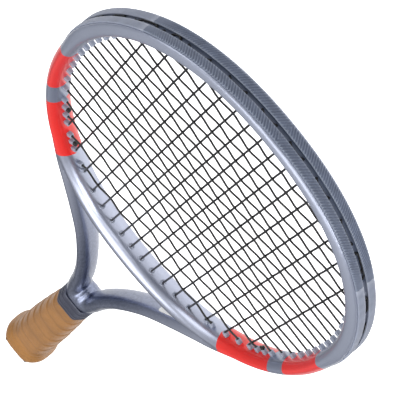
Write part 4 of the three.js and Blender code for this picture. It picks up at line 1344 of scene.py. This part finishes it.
# %% Black monofilament
def monofilament(name, colour):
    material = bpy.data.materials.new(name)
    material.use_nodes = True
    nodes, links = material.node_tree.nodes, material.node_tree.links
    nodes.clear()
    place = nodes.new("ShaderNodeTexCoord")
    place.label = "place on the racket"
    dust = nodes.new("ShaderNodeTexNoise")
    dust.label = "dust and court grit"
    tones = nodes.new("ShaderNodeValToRGB")
    tones.label = "black with a dusty bloom"
    gloss = nodes.new("ShaderNodeMapRange")
    gloss.label = "gloss, dulled in places"
    scuff = nodes.new("ShaderNodeTexNoise")
    scuff.label = "sawing marks"
    scuff_bump = nodes.new("ShaderNodeBump")
    scuff_bump.label = "fine scratches"
    filament = nodes.new("ShaderNodeBsdfPrincipled")
    filament.label = "copolyester"
    out = nodes.new("ShaderNodeOutputMaterial")
    out.label = "string"
    for title, members in (("Colour", (dust, tones)), ("Surface", (gloss, scuff, scuff_bump))):
        group = nodes.new("NodeFrame")
        group.label = title
        for member in members:
            member.parent = group
    for column, members in enumerate((
        (place,), (dust, scuff), (tones, gloss, scuff_bump), (filament,), (out,),
    )):
        for row, node in enumerate(members):
            node.location = (240 * column, -260 * row)
    dust.inputs["Scale"].default_value = 90
    dust.inputs["Detail"].default_value = 4
    tones.color_ramp.elements[0].position = 0.4
    tones.color_ramp.elements[0].color = (*colour, 1)
    tones.color_ramp.elements[1].position = 0.9
    tones.color_ramp.elements[1].color = (*[c + 0.009 for c in colour], 1)
    gloss.inputs["To Min"].default_value = 0.30
    gloss.inputs["To Max"].default_value = 0.48
    scuff.inputs["Scale"].default_value = 1600
    scuff_bump.inputs["Strength"].default_value = 0.08
    scuff_bump.inputs["Distance"].default_value = 0.0002
    links.new(place.outputs["Object"], dust.inputs["Vector"])
    links.new(dust.outputs["Fac"], tones.inputs["Fac"])
    links.new(tones.outputs["Color"], filament.inputs["Base Color"])
    links.new(dust.outputs["Fac"], gloss.inputs["Value"])
    links.new(gloss.outputs["Result"], filament.inputs["Roughness"])
    links.new(place.outputs["Object"], scuff.inputs["Vector"])
    links.new(scuff.outputs["Fac"], scuff_bump.inputs["Height"])
    links.new(scuff_bump.outputs["Normal"], filament.inputs["Normal"])
    links.new(filament.outputs["BSDF"], out.inputs["Surface"])
    print(name, "has", len(nodes), "nodes")
    return material


black_string = monofilament("black_monofilament", (0.003, 0.003, 0.004))
for name in ("main_string_round", "cross_string_round"):
    bpy.data.objects[name].data.materials.append(black_string)

# %% [markdown]
# ### Leather
# Vegetable-tanned calf is warm brown with a mottle from the hide and a close grain of tiny
# creases and pores. Shade is painted in where it folds and under each lap, and the high places
# are painted paler, partly as polish from hands and partly as a painted highlight. The painted
# fold shade is known from the mesh: each point keeps how much it gets, and the material darkens by that.

# %% Wrapped tanned leather
# Painted shade: how dark each point of the leather is painted, strongest at the edge of each lap.
FOLD_SHADE_WIDTH = 0.12
FOLD_SHADE_STRENGTH = 0.5
painted_fold_shade_layer = leather.data.attributes.new("painted_fold_shade", "FLOAT", "POINT")
fold_shade_values = []
for y in np.arange(GRIP_FROM_Y, GRIP_TO_Y, GRIP_STEP):
    for k in range(GRIP_AROUND):
        turn = (y / LAP_PITCH - k / GRIP_AROUND) % 1.0
        strength = eased_step(LAP_FROM_Y, LAP_FROM_Y + 12, y)
        near_edge = max(0.0, 1.0 - min(turn, 1.0 - turn) / FOLD_SHADE_WIDTH)
        fold_shade_values.append(strength * near_edge * FOLD_SHADE_STRENGTH)
fold_shade_values += [0.0] * (len(leather.data.vertices) - len(fold_shade_values))
painted_fold_shade_layer.data.foreach_set("value", fold_shade_values)


# dark is the painted fold shade colour; light is the paler colour of wear with painted highlight on the high
# places.
def tanned_leather(name, dark, mid, light):
    material = bpy.data.materials.new(name)
    material.use_nodes = True
    nodes, links = material.node_tree.nodes, material.node_tree.links
    nodes.clear()
    place = nodes.new("ShaderNodeTexCoord")
    place.label = "place on the racket"
    hide = nodes.new("ShaderNodeTexNoise")
    hide.label = "mottle of the hide"
    tan = nodes.new("ShaderNodeValToRGB")
    tan.label = "tanned browns"
    # Painted shade in the folds and under the laps, read from the mesh.
    fold_shade_input = nodes.new("ShaderNodeAttribute")
    fold_shade_input.label = "painted shade in the folds"
    fold_shade_amount = nodes.new("ShaderNodeMapRange")
    fold_shade_amount.label = "painted shade by this much"
    fold_shaded = nodes.new("ShaderNodeMix")
    fold_shaded.label = "painted fold shade"
    # Painted highlight, partly wear: the raised places of the leather are painted paler.
    high = nodes.new("ShaderNodeNewGeometry")
    high.label = "where it stands up"
    worn_and_highlight_place = nodes.new("ShaderNodeMapRange")
    worn_and_highlight_place.label = "polished and highlit high places"
    worn_and_highlight = nodes.new("ShaderNodeMix")
    worn_and_highlight.label = "paler where handled, painted highlight"
    pores = nodes.new("ShaderNodeTexVoronoi")
    pores.label = "grain cells"
    creases = nodes.new("ShaderNodeTexNoise")
    creases.label = "fine creases"
    grain = nodes.new("ShaderNodeMath")
    grain.label = "grain over creases"
    grain_bump = nodes.new("ShaderNodeBump")
    grain_bump.label = "leather grain"
    satin = nodes.new("ShaderNodeMapRange")
    satin.label = "satin to dry"
    hide_skin = nodes.new("ShaderNodeBsdfPrincipled")
    hide_skin.label = "leather"
    out = nodes.new("ShaderNodeOutputMaterial")
    out.label = "grip"
    for title, members in (
        ("Browns", (hide, tan)),
        ("Painted fold shade, wear and highlight", (fold_shade_input, fold_shade_amount, fold_shaded, high, worn_and_highlight_place, worn_and_highlight)),
        ("Grain", (pores, creases, grain, grain_bump, satin)),
    ):
        group = nodes.new("NodeFrame")
        group.label = title
        for member in members:
            member.parent = group
    for column, members in enumerate((
        (place, high, fold_shade_input), (hide, fold_shade_amount, pores, creases), (tan, worn_and_highlight_place, grain),
        (fold_shaded, satin), (worn_and_highlight, grain_bump), (hide_skin,), (out,),
    )):
        for row, node in enumerate(members):
            node.location = (240 * column, -260 * row)
    hide.inputs["Scale"].default_value = 46
    hide.inputs["Detail"].default_value = 6
    hide.inputs["Roughness"].default_value = 0.6
    tan.color_ramp.elements[0].position = 0.30
    tan.color_ramp.elements[0].color = (*[0.78 * c for c in mid], 1)
    tan.color_ramp.elements[1].position = 0.72
    tan.color_ramp.elements[1].color = (*[1.12 * c for c in mid], 1)
    fold_shade_input.attribute_name = "painted_fold_shade"
    fold_shade_amount.inputs["To Max"].default_value = 0.75
    fold_shaded.data_type = "RGBA"
    fold_shaded.inputs["B"].default_value = (*dark, 1)
    worn_and_highlight_place.inputs["From Min"].default_value = 0.505
    worn_and_highlight_place.inputs["From Max"].default_value = 0.56
    worn_and_highlight_place.inputs["To Max"].default_value = 0.5
    worn_and_highlight.data_type = "RGBA"
    worn_and_highlight.inputs["B"].default_value = (*light, 1)
    pores.inputs["Scale"].default_value = 1100
    creases.inputs["Scale"].default_value = 260
    creases.inputs["Detail"].default_value = 5
    grain.operation = "MULTIPLY_ADD"
    grain.inputs[1].default_value = 0.5
    grain_bump.inputs["Strength"].default_value = 0.22
    grain_bump.inputs["Distance"].default_value = 0.0006
    satin.inputs["From Min"].default_value = 0.25
    satin.inputs["From Max"].default_value = 0.75
    satin.inputs["To Min"].default_value = 0.32
    satin.inputs["To Max"].default_value = 0.48
    hide_skin.inputs["Sheen Weight"].default_value = 0.08
    links.new(place.outputs["Object"], hide.inputs["Vector"])
    links.new(hide.outputs["Fac"], tan.inputs["Fac"])
    links.new(fold_shade_input.outputs["Fac"], fold_shade_amount.inputs["Value"])
    links.new(fold_shade_amount.outputs["Result"], fold_shaded.inputs["Factor"])
    links.new(tan.outputs["Color"], fold_shaded.inputs["A"])
    links.new(high.outputs["Pointiness"], worn_and_highlight_place.inputs["Value"])
    links.new(worn_and_highlight_place.outputs["Result"], worn_and_highlight.inputs["Factor"])
    links.new(fold_shaded.outputs["Result"], worn_and_highlight.inputs["A"])
    links.new(worn_and_highlight.outputs["Result"], hide_skin.inputs["Base Color"])
    links.new(place.outputs["Object"], pores.inputs["Vector"])
    links.new(place.outputs["Object"], creases.inputs["Vector"])
    links.new(pores.outputs["Distance"], grain.inputs[0])
    links.new(creases.outputs["Fac"], grain.inputs[2])
    links.new(grain.outputs["Value"], grain_bump.inputs["Height"])
    links.new(grain_bump.outputs["Normal"], hide_skin.inputs["Normal"])
    links.new(creases.outputs["Fac"], satin.inputs["Value"])
    links.new(satin.outputs["Result"], hide_skin.inputs["Roughness"])
    links.new(hide_skin.outputs["BSDF"], out.inputs["Surface"])
    print(name, "has", len(nodes), "nodes")
    return material


# The first colour is the painted fold shade, the last the paler wear with painted highlight.
leather.data.materials.append(
    tanned_leather("tanned_calf_leather", (0.150, 0.060, 0.016), (0.370, 0.160, 0.030), (0.47, 0.24, 0.08)))

# %% [markdown]
# ### Small parts
# What is left is seen only close up or when the cover comes off: rubber, steel staples and
# tack, foam handle halves, cloth tape and a film label. Each has its own short material.

# %% Rubber, cap and cover
collar.data.materials.append(
    moulded_plastic("collar_rubber", (0.030, 0.033, 0.055), (0.16, 0.17, 0.22), 0.46, 1500))
cap_plastic = moulded_plastic("cap_plastic", (0.022, 0.022, 0.026), (0.12, 0.12, 0.13), 0.42, 1300)
cover_plastic = moulded_plastic("cover_plastic", (0.030, 0.030, 0.034), (0.14, 0.14, 0.15), 0.36, 1700)


def dress(node, material, round_mm):
    """Gives a CAD solid its finish and takes the edge off its corners."""
    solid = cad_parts[node]
    solid.data.materials.clear()
    solid.data.materials.append(material)
    if round_mm:
        edge = solid.modifiers.new("rounded corners", "BEVEL")
        edge.width = round_mm / 1000
        edge.segments = 2
        edge.limit_method = "ANGLE"
        edge.angle_limit = math.radians(35)
    print("dressed", node, "with", material.name)


dress("butt_cap", cap_plastic, 0.35)
dress("butt_cap_door", cover_plastic, 0.3)

# %% Wire, foam, tape and film
def fine_finish(name, colour, other, metallic, roughness, scale, stretch, bump):
    """A surface of two close colours with a texture that may be drawn out one way."""
    material = bpy.data.materials.new(name)
    material.use_nodes = True
    nodes, links = material.node_tree.nodes, material.node_tree.links
    nodes.clear()
    place = nodes.new("ShaderNodeTexCoord")
    place.label = "place on the racket"
    drawn = nodes.new("ShaderNodeMapping")
    drawn.label = "drawn out one way"
    texture = nodes.new("ShaderNodeTexNoise")
    texture.label = "cells, threads or draw lines"
    tones = nodes.new("ShaderNodeValToRGB")
    tones.label = "two close colours"
    sheen = nodes.new("ShaderNodeMapRange")
    sheen.label = "uneven shine"
    relief = nodes.new("ShaderNodeBump")
    relief.label = "small relief"
    surface = nodes.new("ShaderNodeBsdfPrincipled")
    surface.label = "surface"
    out = nodes.new("ShaderNodeOutputMaterial")
    out.label = "small part"
    for title, members in (("Texture", (drawn, texture, tones)), ("Shine and relief", (sheen, relief))):
        group = nodes.new("NodeFrame")
        group.label = title
        for member in members:
            member.parent = group
    for column, members in enumerate((
        (place,), (drawn,), (texture,), (tones, sheen, relief), (surface,), (out,),
    )):
        for row, node in enumerate(members):
            node.location = (240 * column, -260 * row)
    drawn.inputs["Scale"].default_value = stretch
    texture.inputs["Scale"].default_value = scale
    texture.inputs["Detail"].default_value = 4
    tones.color_ramp.elements[0].position = 0.35
    tones.color_ramp.elements[0].color = (*colour, 1)
    tones.color_ramp.elements[1].position = 0.65
    tones.color_ramp.elements[1].color = (*other, 1)
    sheen.inputs["To Min"].default_value = roughness - 0.08
    sheen.inputs["To Max"].default_value = roughness + 0.08
    relief.inputs["Strength"].default_value = bump
    relief.inputs["Distance"].default_value = 0.0004
    surface.inputs["Metallic"].default_value = metallic
    links.new(place.outputs["Object"], drawn.inputs["Vector"])
    links.new(drawn.outputs["Vector"], texture.inputs["Vector"])
    links.new(texture.outputs["Fac"], tones.inputs["Fac"])
    links.new(tones.outputs["Color"], surface.inputs["Base Color"])
    links.new(texture.outputs["Fac"], sheen.inputs["Value"])
    links.new(sheen.outputs["Result"], surface.inputs["Roughness"])
    links.new(texture.outputs["Fac"], relief.inputs["Height"])
    links.new(relief.outputs["Normal"], surface.inputs["Normal"])
    links.new(surface.outputs["BSDF"], out.inputs["Surface"])
    print(name, "has", len(nodes), "nodes")
    return material


EVEN = (1, 1, 1)
ALONG_WIRE = (1, 0.1, 1)
ALONG_THREADS = (1, 0.2, 1)
steel_wire = fine_finish(
    "steel_wire", (0.55, 0.56, 0.58), (0.66, 0.67, 0.68), 1.0, 0.28, 900, ALONG_WIRE, 0.1)
handle_foam = fine_finish("handle_foam", (0.60, 0.54, 0.40), (0.68, 0.62, 0.47), 0.0, 0.85, 700, EVEN, 0.6)
cloth_tape = fine_finish(
    "cloth_tape", (0.010, 0.010, 0.012), (0.028, 0.028, 0.032), 0.0, 0.7, 1800, ALONG_THREADS, 0.5)
label_film = fine_finish("label_film", (0.78, 0.78, 0.76), (0.83, 0.83, 0.82), 0.0, 0.35, 500, EVEN, 0.05)
label.data.materials.append(label_film)
for level in ("upper", "lower"):
    for side in ("right", "left"):
        dress(f"cap_staple_{level}_{side}", steel_wire, 0.15)
dress("grip_tack", steel_wire, 0.15)
dress("handle_pallet_upper", handle_foam, 0)
dress("handle_pallet_lower", handle_foam, 0)
dress("finishing_tape", cloth_tape, 0)
